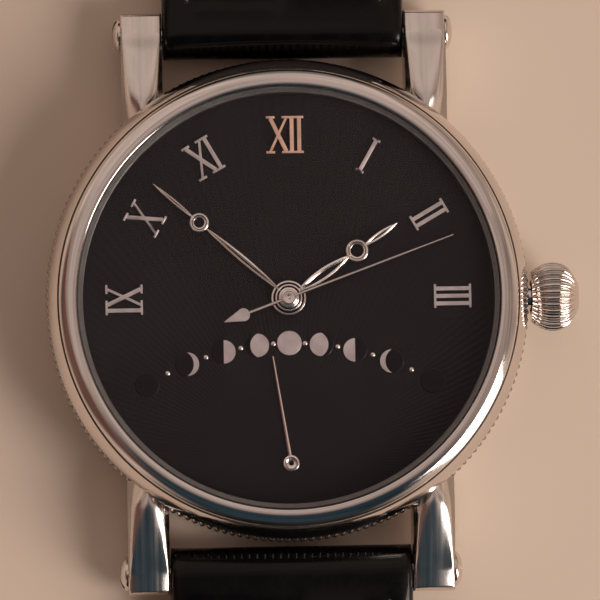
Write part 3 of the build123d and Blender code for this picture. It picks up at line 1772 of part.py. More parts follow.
half_width = strap_width / 2
half_end = strap_end_width / 2
strap_cut = bar_height + strap_loop_radius + 2 * overrun
short_end = pin_reach + pin_loop_radius
with BuildPart() as strap_short:
    strap_profile(short_length, short_lift, pin_loop_radius)
    trim_strap(short_end + 2 * half_end, half_end)
    with BuildSketch(Plane.YZ.offset(-half_width)):
        with Locations((pin_reach, pin_height)):
            Circle(pin_radius + run_gap)
    extrude(amount=strap_width, mode=Mode.SUBTRACT)
    notch_length = tongue_notch_depth + pin_loop_radius + overrun
    with BuildSketch(Plane.XY.offset(-overrun)):
        with Locations((0, short_end + overrun - notch_length / 2)):
            Rectangle(tongue_notch_width, notch_length)
    extrude(amount=strap_cut, mode=Mode.SUBTRACT)
keep(strap_short, "strap_short")

long_end = bar_reach + long_length
with BuildPart() as strap_long_upright:
    strap_profile(long_length, 0, 0)
    trim_strap(long_end, half_end)
    with BuildSketch(Plane.XY.offset(-overrun)):
        with Locations(
            *[
                (0, long_end - strap_hole_margin - hole * strap_hole_pitch)
                for hole in range(strap_hole_count)
            ]
        ):
            Circle(strap_hole_radius)
    extrude(amount=strap_cut, mode=Mode.SUBTRACT)
with BuildPart() as strap_long:
    add(strap_long_upright.part.mirror(Plane.XZ))
keep(strap_long, "strap_long")

# Buckle: a frame that turns on the pin, and its tongue
frame_inner = half_end + frame_gap
frame_outer = frame_inner + frame_arm_width
frame_low = pin_height - frame_height / 2 + seat_gap
with BuildPart() as buckle_frame:
    with BuildSketch(Plane.XY.offset(frame_low)):
        frame_middle = (frame_reach - frame_back) / 2
        with Locations((0, pin_reach + frame_middle)):
            RectangleRounded(2 * frame_outer, frame_reach + frame_back, frame_corner)
        with Locations((0, pin_reach + frame_middle - frame_bar_width)):
            Rectangle(2 * frame_inner, frame_reach + frame_back, mode=Mode.SUBTRACT)
    extrude(amount=frame_height)
    with BuildSketch(Plane.XY.offset(frame_low + frame_bar_height)):
        with Locations((0, pin_reach + frame_reach - frame_bar_width / 2)):
            Rectangle(2 * frame_inner, frame_bar_width + overrun)
    extrude(amount=frame_height, mode=Mode.SUBTRACT)
    with BuildSketch(Plane.YZ.offset(-frame_outer)):
        with Locations((pin_reach, pin_height)):
            Circle(pin_radius + seat_gap)
    extrude(amount=2 * frame_outer, mode=Mode.SUBTRACT)
keep(buckle_frame, "buckle_frame")

with BuildPart() as buckle_pin:
    with BuildSketch(Plane.YZ.offset(-frame_outer)):
        with Locations((pin_reach, pin_height)):
            Circle(pin_radius)
    extrude(amount=2 * frame_outer)
keep(buckle_pin, "buckle_pin")

tongue_low = frame_low + frame_bar_height + seat_gap
with BuildPart() as buckle_tongue:
    with BuildSketch(Plane.YZ.offset(-tongue_width / 2)):
        with Locations((pin_reach, pin_height)):
            Circle(tongue_loop_radius)
        tongue_end = pin_reach + frame_reach + tongue_over
        with Locations(((pin_reach + tongue_end) / 2, tongue_low + tongue_thickness / 2)):
            Rectangle(tongue_end - pin_reach, tongue_thickness)
        with Locations((pin_reach, pin_height)):
            Circle(pin_radius + run_gap, mode=Mode.SUBTRACT)
    extrude(amount=tongue_width)
keep(buckle_tongue, "buckle_tongue")

# Keepers: one sewn to the short half, one that slides on it
keeper_inner = half_end + leather_gap
keeper_places = {"fixed_keeper": pin_reach - fixed_keeper_at, "free_keeper": pin_reach - free_keeper_at}
for keeper_name, reach in keeper_places.items():
    with BuildPart() as keeper:
        with BuildSketch(Plane.XZ.offset(-reach - keeper_width / 2)):
            with Locations((0, keeper_height / 2)):
                RectangleRounded(
                    2 * (keeper_inner + keeper_side_wall), keeper_height, keeper_side_wall
                )
                Rectangle(
                    2 * keeper_inner, keeper_height - 2 * keeper_wall, mode=Mode.SUBTRACT
                )
        extrude(amount=keeper_width)
    keep(keeper, keeper_name)
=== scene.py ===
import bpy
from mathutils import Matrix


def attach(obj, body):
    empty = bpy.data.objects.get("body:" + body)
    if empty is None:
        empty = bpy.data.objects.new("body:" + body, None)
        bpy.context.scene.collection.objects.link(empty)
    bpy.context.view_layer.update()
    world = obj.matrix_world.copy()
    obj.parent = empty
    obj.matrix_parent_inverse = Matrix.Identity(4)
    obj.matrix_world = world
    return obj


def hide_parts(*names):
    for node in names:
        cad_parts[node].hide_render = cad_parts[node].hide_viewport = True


bl_info = {
    "name": "Moon Phase Watch",
    "version": (1, 0, 0),
    "blender": (4, 5, 0),
    "location": "View3D > Sidebar > Watch",
    "description": "Dresses the packed moon phase watch: case, dial, hands, strap and stage",
    "category": "Object",
}

from math import atan2, cos, degrees, hypot, pi, radians, sin, sqrt, tan
from types import SimpleNamespace

import bmesh
import bpy
from bpy.props import FloatProperty, FloatVectorProperty, IntProperty, PointerProperty
from mathutils import Matrix, Vector, noise
from mathutils.bvhtree import BVHTree

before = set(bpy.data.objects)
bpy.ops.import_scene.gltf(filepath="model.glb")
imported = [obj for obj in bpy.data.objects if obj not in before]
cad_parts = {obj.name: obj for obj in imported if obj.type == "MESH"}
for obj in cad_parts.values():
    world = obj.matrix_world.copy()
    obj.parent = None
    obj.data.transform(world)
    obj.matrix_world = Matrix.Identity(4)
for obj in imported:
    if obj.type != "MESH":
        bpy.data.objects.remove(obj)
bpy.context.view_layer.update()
MM = 0.001


# Sizes and colours that a user would change


class CaseSizes(bpy.types.PropertyGroup):
    """Sizes of the case"""

    bezel_radius: FloatProperty(
        name="Bezel radius", description="Outer radius of the bezel", default=20.0 * MM, unit="LENGTH"
    )
    bezel_bottom: FloatProperty(
        name="Bezel bottom", description="Height of the bezel's foot", default=7.03 * MM, unit="LENGTH"
    )
    ridge_radius: FloatProperty(
        name="Ridge radius",
        description="Radius of the line between the bezel's two slopes",
        default=19.1 * MM,
        unit="LENGTH",
    )
    sight_radius: FloatProperty(
        name="Sight radius", description="Radius of the visible dial", default=17.08 * MM, unit="LENGTH"
    )
    band_radius: FloatProperty(
        name="Band radius", description="Radius over the flutes", default=20.25 * MM, unit="LENGTH"
    )
    band_plain_radius: FloatProperty(
        name="Plain band radius",
        description="Radius of the band's plain rims",
        default=19.75 * MM,
        unit="LENGTH",
    )
    band_bottom: FloatProperty(
        name="Band bottom", description="Lowest level of the band", default=1.0 * MM, unit="LENGTH"
    )
    band_top: FloatProperty(
        name="Band top", description="Highest level of the band", default=7.0 * MM, unit="LENGTH"
    )
    flute_count: IntProperty(name="Flutes", description="Flutes round the band", default=190)
    crystal_level: FloatProperty(
        name="Crystal level", description="Underside of the crystal", default=8.98 * MM, unit="LENGTH"
    )
    crystal_edge: FloatProperty(
        name="Crystal edge", description="Thickness of the crystal's edge", default=0.95 * MM, unit="LENGTH"
    )
    crystal_dome: FloatProperty(
        name="Crystal dome", description="Rise of the crystal", default=0.72 * MM, unit="LENGTH"
    )
    lug_inner: FloatProperty(
        name="Lug inner face", description="Distance from the middle line", default=10.2 * MM, unit="LENGTH"
    )
    lug_width: FloatProperty(
        name="Lug width", description="Width of a lug", default=3.45 * MM, unit="LENGTH"
    )
    lug_tip_radius: FloatProperty(
        name="Lug tip radius", description="Radius round the bar", default=1.85 * MM, unit="LENGTH"
    )
    bar_reach: FloatProperty(
        name="Bar reach",
        description="Strap bar's distance from the centre",
        default=22.65 * MM,
        unit="LENGTH",
    )
    bar_height: FloatProperty(
        name="Bar height", description="Strap bar's height", default=3.0 * MM, unit="LENGTH"
    )
    crown_start: FloatProperty(
        name="Crown start", description="Inner face of the crown", default=20.5 * MM, unit="LENGTH"
    )
    crown_length: FloatProperty(
        name="Crown length", description="Length of the crown", default=3.95 * MM, unit="LENGTH"
    )
    crown_radius: FloatProperty(
        name="Crown radius", description="Largest radius of the crown", default=2.9 * MM, unit="LENGTH"
    )
    crown_flutes: IntProperty(name="Crown flutes", description="Flutes round the crown", default=30)
    stem_height: FloatProperty(
        name="Stem height", description="Height of the stem's axis", default=4.3 * MM, unit="LENGTH"
    )


class DialSizes(bpy.types.PropertyGroup):
    """Sizes of the dial and moons"""

    dial_top: FloatProperty(
        name="Dial top", description="Height of the dial's face", default=7.4 * MM, unit="LENGTH"
    )
    dial_radius: FloatProperty(
        name="Dial radius", description="Radius of the dial", default=17.3 * MM, unit="LENGTH"
    )
    ray_count: IntProperty(name="Rays", description="Rays round the moon hand's pivot", default=216)
    ray_start: FloatProperty(
        name="Ray start", description="Radius where the rays begin", default=6.5 * MM, unit="LENGTH"
    )
    ray_depth: FloatProperty(
        name="Ray depth", description="Depth of the rays", default=0.013 * MM, unit="LENGTH"
    )
    moon_pivot: FloatProperty(
        name="Moon pivot", description="Pivot's distance below the centre", default=13.7 * MM, unit="LENGTH"
    )
    moon_disc: FloatProperty(
        name="Moon disc", description="Radius of a moon", default=1.02 * MM, unit="LENGTH"
    )
    moon_step: FloatProperty(
        name="Moon step", description="Angle between two moons", default=radians(15.15), unit="ROTATION"
    )
    moon_arc: FloatProperty(
        name="Moon arc", description="Radius of the moons' arc", default=22.94 * MM, unit="LENGTH"
    )
    moon_arc_top: FloatProperty(
        name="Moon arc top", description="Arc's height over the pivot", default=9.98 * MM, unit="LENGTH"
    )


class StrapSizes(bpy.types.PropertyGroup):
    """Sizes of the strap and buckle"""

    width: FloatProperty(name="Width", description="Width at the lugs", default=20.0 * MM, unit="LENGTH")
    end_width: FloatProperty(
        name="End width", description="Width at the buckle", default=18.0 * MM, unit="LENGTH"
    )
    taper: FloatProperty(
        name="Taper", description="Length over which the strap narrows", default=35.0 * MM, unit="LENGTH"
    )
    short_length: FloatProperty(
        name="Short half", description="Bar to buckle pin", default=75.0 * MM, unit="LENGTH"
    )
    long_length: FloatProperty(
        name="Long half", description="Bar to tip", default=115.0 * MM, unit="LENGTH"
    )
    pin_height: FloatProperty(
        name="Pin height", description="Height of the buckle pin", default=2.1 * MM, unit="LENGTH"
    )
    stitch_pitch: FloatProperty(
        name="Stitch pitch", description="From one stitch to the next", default=3.1 * MM, unit="LENGTH"
    )
    stitch_length: FloatProperty(
        name="Stitch length", description="Length of a stitch", default=2.3 * MM, unit="LENGTH"
    )
    stitch_inset: FloatProperty(
        name="Stitch inset", description="Seam's distance from the edge", default=1.9 * MM, unit="LENGTH"
    )
    hole_radius: FloatProperty(
        name="Hole radius", description="Radius of a strap hole", default=0.95 * MM, unit="LENGTH"
    )
    hole_pitch: FloatProperty(
        name="Hole pitch", description="From one hole to the next", default=6.5 * MM, unit="LENGTH"
    )
    hole_count: IntProperty(name="Holes", description="Holes in the long half", default=7)
    hole_margin: FloatProperty(
        name="Hole margin", description="Last hole to the tip", default=24.0 * MM, unit="LENGTH"
    )


class Finishes(bpy.types.PropertyGroup):
    """Colours of the watch"""

    steel: FloatVectorProperty(
        name="Steel", description="Polished steel", subtype="COLOR", default=(0.78, 0.72, 0.685)
    )
    dial: FloatVectorProperty(
        name="Dial", description="Dial", subtype="COLOR", default=(0.0065, 0.0052, 0.006)
    )
    applied: FloatVectorProperty(
        name="Applied metal", description="Numerals and moons", subtype="COLOR", default=(0.63, 0.55, 0.55)
    )
    rose_gold: FloatVectorProperty(
        name="Rose gold", description="Mark at twelve", subtype="COLOR", default=(0.95, 0.62, 0.47)
    )
    leather: FloatVectorProperty(
        name="Leather", description="Strap", subtype="COLOR", default=(0.0022, 0.0018, 0.0018)
    )
    floor: FloatVectorProperty(
        name="Floor", description="Floor", subtype="COLOR", default=(0.81, 0.665, 0.545)
    )


def in_millimetres(group):
    """A group's sizes as plain numbers: lengths in millimetres, angles in degrees, counts as they are."""
    values = {}
    for name in type(group).__annotations__:
        value, unit = getattr(group, name), group.bl_rna.properties[name].unit
        if unit == "LENGTH":
            value = round(value / MM, 4)
        elif unit == "ROTATION":
            value = round(degrees(value), 4)
        values[name] = value
    return SimpleNamespace(**values)


# Shape helpers, in millimetres


def arc(start, through, end, steps):
    """Points of the arc through three points, without its first point."""
    (ax, ay), (bx, by), (cx, cy) = start, through, end
    det = 2 * (ax * (by - cy) + bx * (cy - ay) + cx * (ay - by))
    ux = ((ax**2 + ay**2) * (by - cy) + (bx**2 + by**2) * (cy - ay) + (cx**2 + cy**2) * (ay - by)) / det
    uy = ((ax**2 + ay**2) * (cx - bx) + (bx**2 + by**2) * (ax - cx) + (cx**2 + cy**2) * (bx - ax)) / det
    radius = hypot(ax - ux, ay - uy)
    first = atan2(ay - uy, ax - ux)
    middle = (atan2(by - uy, bx - ux) - first) % (2 * pi)
    last = (atan2(cy - uy, cx - ux) - first) % (2 * pi)
    if middle > last:
        last -= 2 * pi
    return [
        (ux + radius * cos(first + last * step / steps), uy + radius * sin(first + last * step / steps))
        for step in range(1, steps + 1)
    ]


def polar(centre, distance, angle):
    """The point at a distance and an angle in degrees from a centre."""
    return (centre[0] + distance * cos(radians(angle)), centre[1] + distance * sin(radians(angle)))


def smooth_step(value):
    """A soft ramp from 0 to 1."""
    value = min(1.0, max(0.0, value))
    return value * value * (3 - 2 * value)


def lathe(profile, steps, centre=(0, 0)):
    """Points and faces of a closed profile of (radius, height) turned about a vertical axis."""
    points, rings = [], []
    for radius, height in profile:
        if radius < 1e-6:
            rings.append([len(points)] * steps)
            points.append((centre[0], centre[1], height))
        else:
            rings.append(list(range(len(points), len(points) + steps)))
            for step in range(steps):
                x, y = polar(centre, radius, 360 * step / steps)
                points.append((x, y, height))
    faces = []
    for first, second in zip(rings, rings[1:] + rings[:1]):
        for step in range(steps):
            corner = (first[step], first[(step + 1) % steps], second[(step + 1) % steps], second[step])
            face = [index for place, index in enumerate(corner) if index not in corner[:place]]
            if len(face) > 2:
                faces.append(face)
    return points, faces


def grid_faces(rows, columns, closed=False):
    """Faces of a grid of rows by columns of points, its columns joined round if closed."""
    last = columns if closed else columns - 1
    return [
        (
            row * columns + column,
            row * columns + (column + 1) % columns,
            (row + 1) * columns + (column + 1) % columns,
            (row + 1) * columns + column,
        )
        for row in range(rows - 1)
        for column in range(last)
    ]


def tube(sections, closed=False):
    """Points and faces of a tube through sections of equal length, capped unless it is closed."""
    count = len(sections[0])
    points = [point for section in sections for point in section]
    faces = grid_faces(len(sections), count, True)
    if closed:
        base = (len(sections) - 1) * count
        faces += [(base + i, base + (i + 1) % count, (i + 1) % count, i) for i in range(count)]
    else:
        faces.append(tuple(range(count)))
        faces.append(tuple(range(len(points) - count, len(points))))
    return points, faces


def circle(radius, steps=64, centre=(0, 0)):
    """Points of a circle in plan."""
    return [polar(centre, radius, 360 * step / steps) for step in range(steps)]


def join(meshes):
    """One mesh from several."""
    work = bmesh.new()
    for mesh in meshes:
        work.from_mesh(mesh)
        bpy.data.meshes.remove(mesh)
    whole = bpy.data.meshes.new("joined")
    work.to_mesh(whole)
    work.free()
    return whole


def as_mesh(points, faces):
    """A mesh in metres from points in millimetres."""
    mesh = bpy.data.meshes.new("shape")
    mesh.from_pydata([(x * MM, y * MM, z * MM) for x, y, z in points], [], faces)
    mesh.update()
    return mesh


def bevelled(mesh, width, segments=2, angle=30):
    """The mesh with its sharp edges rounded, width in millimetres."""
    work = bmesh.new()
    work.from_mesh(mesh)
    bmesh.ops.remove_doubles(work, verts=work.verts, dist=0.001 * MM)
    bmesh.ops.recalc_face_normals(work, faces=work.faces)
    edges = [edge for edge in work.edges if edge.is_manifold and edge.calc_face_angle() > radians(angle)]
    bmesh.ops.bevel(
        work,
        geom=edges,
        offset=width * MM,
        segments=segments,
        profile=0.5,
        affect="EDGES",
        clamp_overlap=True,
    )
    work.to_mesh(mesh)
    work.free()
    return mesh


# Node helpers


def link(tree, source, target):
    """Join two sockets."""
    tree.links.new(source, target)


def set_inputs(made, **values):
    """Set a node's sockets by their names."""
    for key, value in values.items():
        made.inputs[key.replace("_", " ")].default_value = value


def node(tree, kind, **settings):
    """A node with its properties and, for names that are sockets, their values."""
    made = tree.nodes.new(kind)
    for key, value in settings.items():
        if hasattr(made, key):
            setattr(made, key, value)
        else:
            set_inputs(made, **{key: value})
    return made


def math(tree, operation, first, second=None):
    """A Math node on sockets or numbers, and its result."""
    made = node(tree, "ShaderNodeMath", operation=operation)
    for index, value in enumerate((first, second)):
        if value is None:
            continue
        if isinstance(value, (int, float)):
            made.inputs[index].default_value = value
        else:
            link(tree, value, made.inputs[index])
    return made.outputs[0]


def shader_group(name, inputs, outputs):
    """An empty shader node group with its sockets, and its input and output nodes."""
    group = bpy.data.node_groups.new(name, "ShaderNodeTree")
    for label, kind, default in inputs:
        socket = group.interface.new_socket(label, in_out="INPUT", socket_type=kind)
        if default is not None:
            socket.default_value = default
    for label, kind in outputs:
        group.interface.new_socket(label, in_out="OUTPUT", socket_type=kind)
    return group, group.nodes.new("NodeGroupInput"), group.nodes.new("NodeGroupOutput")


def fine_scratches():
    """Group: hairline scratches and cloudy handling marks on polished metal."""
    group, entry, out = shader_group(
        "Fine scratches",
        [
            ("Vector", "NodeSocketVector", None),
            ("Density", "NodeSocketFloat", 1.0),
            ("Low roughness", "NodeSocketFloat", 0.06),
            ("High roughness", "NodeSocketFloat", 0.18),
        ],
        [("Roughness", "NodeSocketFloat"), ("Height", "NodeSocketFloat"), ("Cloud", "NodeSocketFloat")],
    )
    scaled = node(group, "ShaderNodeVectorMath", operation="SCALE")
    link(group, entry.outputs["Vector"], scaled.inputs[0])
    link(group, entry.outputs["Density"], scaled.inputs["Scale"])
    cloud = node(group, "ShaderNodeTexNoise", Scale=260.0, Detail=4.0, Roughness=0.6)
    link(group, scaled.outputs[0], cloud.inputs["Vector"])
    hair = None
    for stretch, turn in (((40.0, 2600.0, 900.0), 0.6), ((2300.0, 50.0, 700.0), -0.4)):
        mapping = node(group, "ShaderNodeMapping", Scale=stretch, Rotation=(0, 0, turn))
        link(group, scaled.outputs[0], mapping.inputs["Vector"])
        streak = node(group, "ShaderNodeTexNoise", Scale=1.0, Detail=2.0)
        link(group, mapping.outputs[0], streak.inputs["Vector"])
        offset = math(group, "SUBTRACT", streak.outputs[0], 0.5)
        line = math(group, "SMOOTH_MIN", math(group, "ABSOLUTE", offset), 0.03)
        hair = line if hair is None else math(group, "ADD", hair, line)
    spread = node(group, "ShaderNodeMapRange", clamp=True, From_Min=0.35, From_Max=0.7)
    link(group, cloud.outputs[0], spread.inputs["Value"])
    link(group, entry.outputs["Low roughness"], spread.inputs["To Min"])
    link(group, entry.outputs["High roughness"], spread.inputs["To Max"])
    link(group, spread.outputs[0], out.inputs["Roughness"])
    link(group, hair, out.inputs["Height"])
    link(group, cloud.outputs[0], out.inputs["Cloud"])
    return group


def brushed_lines():
    """Group: straight or round brushing."""
    group, entry, out = shader_group(
        "Brushed lines",
        [
            ("Vector", "NodeSocketVector", None),
            ("Across", "NodeSocketVector", (20.0, 4000.0, 20.0)),
            ("Low roughness", "NodeSocketFloat", 0.25),
            ("High roughness", "NodeSocketFloat", 0.42),
        ],
        [("Roughness", "NodeSocketFloat"), ("Height", "NodeSocketFloat"), ("Tone", "NodeSocketFloat")],
    )
    stretched = node(group, "ShaderNodeVectorMath", operation="MULTIPLY")
    link(group, entry.outputs["Vector"], stretched.inputs[0])
    link(group, entry.outputs["Across"], stretched.inputs[1])
    grain = node(group, "ShaderNodeTexNoise", Scale=1.0, Detail=5.0, Roughness=0.65)
    link(group, stretched.outputs[0], grain.inputs["Vector"])
    spread = node(group, "ShaderNodeMapRange", clamp=True, From_Min=0.3, From_Max=0.7)
    link(group, grain.outputs[0], spread.inputs["Value"])
    link(group, entry.outputs["Low roughness"], spread.inputs["To Min"])
    link(group, entry.outputs["High roughness"], spread.inputs["To Max"])
    link(group, spread.outputs[0], out.inputs["Roughness"])
    link(group, grain.outputs[0], out.inputs["Height"])
    link(group, grain.outputs[0], out.inputs["Tone"])
    return group


def hide_grain():
    """Group: pores and fine creases of tanned hide."""
    group, entry, out = shader_group(
        "Hide grain",
        [("Vector", "NodeSocketVector", None), ("Pore scale", "NodeSocketFloat", 2600.0)],
        [("Height", "NodeSocketFloat"), ("Gloss", "NodeSocketFloat"), ("Tone", "NodeSocketFloat")],
    )
    pores = node(group, "ShaderNodeTexVoronoi", feature="SMOOTH_F1", Smoothness=0.6)
    link(group, entry.outputs["Vector"], pores.inputs["Vector"])
    link(group, entry.outputs["Pore scale"], pores.inputs["Scale"])
    creases = node(group, "ShaderNodeTexNoise", Scale=900.0, Detail=6.0, Roughness=0.6, Distortion=0.4)
    link(group, entry.outputs["Vector"], creases.inputs["Vector"])
    broad = node(group, "ShaderNodeTexNoise", Scale=140.0, Detail=3.0)
    link(group, entry.outputs["Vector"], broad.inputs["Vector"])
    height = math(group, "ADD", math(group, "MULTIPLY", pores.outputs[0], 0.35), creases.outputs[0])
    link(group, height, out.inputs["Height"])
    gloss = node(group, "ShaderNodeMapRange", clamp=True)
    set_inputs(gloss, From_Min=0.35, From_Max=0.65, To_Min=0.2, To_Max=0.36)
    link(group, creases.outputs[0], gloss.inputs["Value"])
    link(group, gloss.outputs[0], out.inputs["Gloss"])
    link(group, broad.outputs[0], out.inputs["Tone"])
    return group


GROUPS = {}


def use_group(tree, maker, **values):
    """A node of a shared group, built once."""
    if maker.__name__ not in GROUPS:
        GROUPS[maker.__name__] = maker()
    made = tree.nodes.new("ShaderNodeGroup")
    made.node_tree = GROUPS[maker.__name__]
    set_inputs(made, **values)
    return made


def new_material(name):
    """An empty material with its Principled shader, Object coordinates and tree."""
    material = bpy.data.materials.new(name)
    material.use_nodes = True
    tree = material.node_tree
    shader = tree.nodes["Principled BSDF"]
    place = tree.nodes.new("ShaderNodeTexCoord").outputs["Object"]
    return material, tree, shader, place


def toned(tree, shader, factor, dark, light):
    """Feed Base Color from two colours mixed by a factor."""
    ramp = tree.nodes.new("ShaderNodeValToRGB")
    ramp.color_ramp.elements[0].color = (*dark, 1)
    ramp.color_ramp.elements[1].color = (*light, 1)
    ramp.color_ramp.elements[0].position = 0.3
    ramp.color_ramp.elements[1].position = 0.7
    link(tree, factor, ramp.inputs[0])
    link(tree, ramp.outputs[0], shader.inputs["Base Color"])


def shade(colour, factor):
    """A colour made lighter or darker."""
    return tuple(min(1.0, channel * factor) for channel in colour[:3])


def bump(tree, shader, height, strength, distance):
    """Feed Normal from a height, distance in millimetres."""
    made = node(tree, "ShaderNodeBump", Strength=strength, Distance=distance * MM)
    link(tree, height, made.inputs["Height"])
    link(tree, made.outputs[0], shader.inputs["Normal"])


def polished(name, colour, low=0.05, high=0.13, density=1.0, marks=0.08):
    """Polished metal with handling marks."""
    material, tree, shader, place = new_material(name)
    group = use_group(tree, fine_scratches, Density=density, Low_roughness=low, High_roughness=high)
    link(tree, place, group.inputs["Vector"])
    set_inputs(shader, Metallic=1.0)
    toned(tree, shader, group.outputs["Cloud"], shade(colour, 0.95), shade(colour, 1.04))
    link(tree, group.outputs["Roughness"], shader.inputs["Roughness"])
    bump(tree, shader, group.outputs["Height"], marks, 0.02)
    return material


def brushed(name, colour, across, low=0.24, high=0.42, depth=0.25):
    """Brushed metal, its lines across the direction of the largest scale."""
    material, tree, shader, place = new_material(name)
    group = use_group(tree, brushed_lines, Across=across, Low_roughness=low, High_roughness=high)
    link(tree, place, group.inputs["Vector"])
    set_inputs(shader, Metallic=1.0)
    toned(tree, shader, group.outputs["Tone"], shade(colour, 0.86), shade(colour, 1.08))
    link(tree, group.outputs["Roughness"], shader.inputs["Roughness"])
    bump(tree, shader, group.outputs["Height"], depth, 0.01)
    return material


def hide(name, colour, depth=0.3):
    """Glossy black hide."""
    material, tree, shader, place = new_material(name)
    group = use_group(tree, hide_grain)
    link(tree, place, group.inputs["Vector"])
    toned(tree, shader, group.outputs["Tone"], shade(colour, 0.7), shade(colour, 1.5))
    link(tree, group.outputs["Gloss"], shader.inputs["Roughness"])
    bump(tree, shader, group.outputs["Height"], depth, 0.014)
    set_inputs(shader, Coat_Weight=0.3, Coat_Roughness=0.06, Specular_IOR_Level=0.1)
    return material


def raw_edge(name, colour):
    """Painted or raw leather, with no gloss."""
    material, tree, shader, place = new_material(name)
    group = use_group(tree, hide_grain, Pore_scale=3800.0)
    link(tree, place, group.inputs["Vector"])
    toned(tree, shader, group.outputs["Tone"], shade(colour, 0.75), shade(colour, 1.25))
    bump(tree, shader, group.outputs["Height"], 0.5, 0.05)
    set_inputs(shader, Roughness=0.62)
    return material


def thread(name, colour):
    """Waxed thread with its twist."""
    material, tree, shader, place = new_material(name)
    wave = node(tree, "ShaderNodeTexWave", Scale=900.0, Distortion=1.0, bands_direction="DIAGONAL")
    link(tree, place, wave.inputs["Vector"])
    toned(tree, shader, wave.outputs[1], shade(colour, 0.6), shade(colour, 1.6))
    bump(tree, shader, wave.outputs[1], 0.6, 0.04)
    set_inputs(shader, Roughness=0.5)
    return material


def clear_glass(name):
    """Sapphire that lets lamp light through to what is under it."""
    material, tree, shader, place = new_material(name)
    smear = node(tree, "ShaderNodeTexNoise", Scale=90.0, Detail=2.0)
    link(tree, place, smear.inputs["Vector"])
    spread = node(tree, "ShaderNodeMapRange", clamp=True)
    set_inputs(spread, From_Min=0.4, From_Max=0.8, To_Min=0.0, To_Max=0.02)
    link(tree, smear.outputs[0], spread.inputs["Value"])
    link(tree, spread.outputs[0], shader.inputs["Roughness"])
    set_inputs(shader, Base_Color=(1, 1, 1, 1), Transmission_Weight=1.0, IOR=1.17)
    clear = tree.nodes.new("ShaderNodeBsdfTransparent")
    path = tree.nodes.new("ShaderNodeLightPath")
    mix = tree.nodes.new("ShaderNodeMixShader")
    link(tree, path.outputs["Is Shadow Ray"], mix.inputs[0])
    link(tree, shader.outputs[0], mix.inputs[1])
    link(tree, clear.outputs[0], mix.inputs[2])
    link(tree, mix.outputs[0], tree.nodes["Material Output"].inputs["Surface"])
    return material


def plain(name, colour, roughness, metallic=0.0, grain=0.15, scale=1800.0, specular=0.5):
    """A fine-grained finish, such as paint, rubber or blued steel."""
    material, tree, shader, place = new_material(name)
    speck = node(tree, "ShaderNodeTexNoise", Scale=scale, Detail=3.0)
    link(tree, place, speck.inputs["Vector"])
    toned(tree, shader, speck.outputs[0], shade(colour, 0.88), shade(colour, 1.12))
    bump(tree, shader, speck.outputs[0], grain, 0.01)
    set_inputs(shader, Roughness=roughness, Metallic=metallic, Specular_IOR_Level=specular)
    return material


MATERIALS = {}


def finish(name):
    """A material by name, made once from the finishes."""
    if name in MATERIALS:
        return MATERIALS[name]
    colours = bpy.context.scene.watch_finishes
    steel = tuple(colours.steel)
    makers = {
        "polished_steel": lambda: polished("polished steel", steel),
        "lug_steel": lambda: brushed("lug steel", steel, (2600.0, 40.0, 40.0), 0.12, 0.3, 0.1),
        # Steel darkened as painted shade, for the bezel's recessed flange and the floor of its groove
        "flange_steel": lambda: brushed(
            "flange steel with painted shade", shade(steel, 0.22), (3000.0, 3000.0, 40.0), 0.3, 0.45
        ),
        # Steel darkened as painted shade, for the flutes in the band's hollow under the bezel
        "band_steel": lambda: polished("band steel with painted shade", shade(steel, 0.5), 0.12, 0.25, 1.5, 0.1),
        "back_steel": lambda: brushed("case back steel", shade(steel, 0.9), (40.0, 2600.0, 40.0), 0.16, 0.3),
        "dial_black": lambda: plain("dial black", tuple(colours.dial), 0.3, 0.0, 0.004, 2200.0, 0.2),
        # The dark moons' own black; on the hands it is painted shade in grooves, recesses and centre holes
        "disc_black_and_groove_shade": lambda: plain(
            "moon disc black and painted groove shade", shade(colours.dial, 0.7), 0.3, 0.0, 0.01, 2200.0, 0.15
        ),
        "applied_metal": lambda: brushed(
            "applied metal", tuple(colours.applied), (900.0, 900.0, 900.0), 0.3, 0.42, 0.12
        ),
        "hand_metal": lambda: polished("hand metal", (0.88, 0.80, 0.765), 0.12, 0.2, 2.0, 0.02),
        "rose_gold": lambda: brushed(
            "rose gold", tuple(colours.rose_gold), (900.0, 900.0, 900.0), 0.26, 0.4, 0.1
        ),
        "black_leather": lambda: hide("black hide", tuple(colours.leather)),
        "lining_leather": lambda: raw_edge("lining leather", (0.045, 0.035, 0.03)),
        "edge_paint": lambda: raw_edge("edge paint", (0.016, 0.014, 0.013)),
        "black_thread": lambda: thread("black thread", (0.03, 0.027, 0.026)),
        "sapphire": lambda: clear_glass("sapphire"),
        "seal_rubber": lambda: plain("seal rubber", (0.02, 0.02, 0.02), 0.6),
        "plated_plate": lambda: striped("striped plate", (0.66, 0.64, 0.61)),
        "plain_steel": lambda: brushed("plain steel", (0.62, 0.61, 0.6), (60.0, 1800.0, 60.0), 0.18, 0.34),
        "wheel_brass": lambda: brushed("wheel brass", (0.80, 0.58, 0.25), (1500.0, 60.0, 60.0), 0.18, 0.34),
        "spring_steel": lambda: plain("blued spring", (0.06, 0.09, 0.22), 0.25, 1.0),
        "blued_screw": lambda: polished("blued screw", (0.05, 0.09, 0.30), 0.1, 0.2),
        "rotor_metal": lambda: brushed("rotor metal", (0.80, 0.68, 0.56), (60.0, 60.0, 60.0), 0.2, 0.34, 0.1),
        "ruby": lambda: plain("ruby", (0.45, 0.01, 0.05), 0.08, 0.0, 0.02),
        "floor": lambda: floor_paint("studio floor", tuple(colours.floor)),
    }
    MATERIALS[name] = makers[name]()
    return MATERIALS[name]


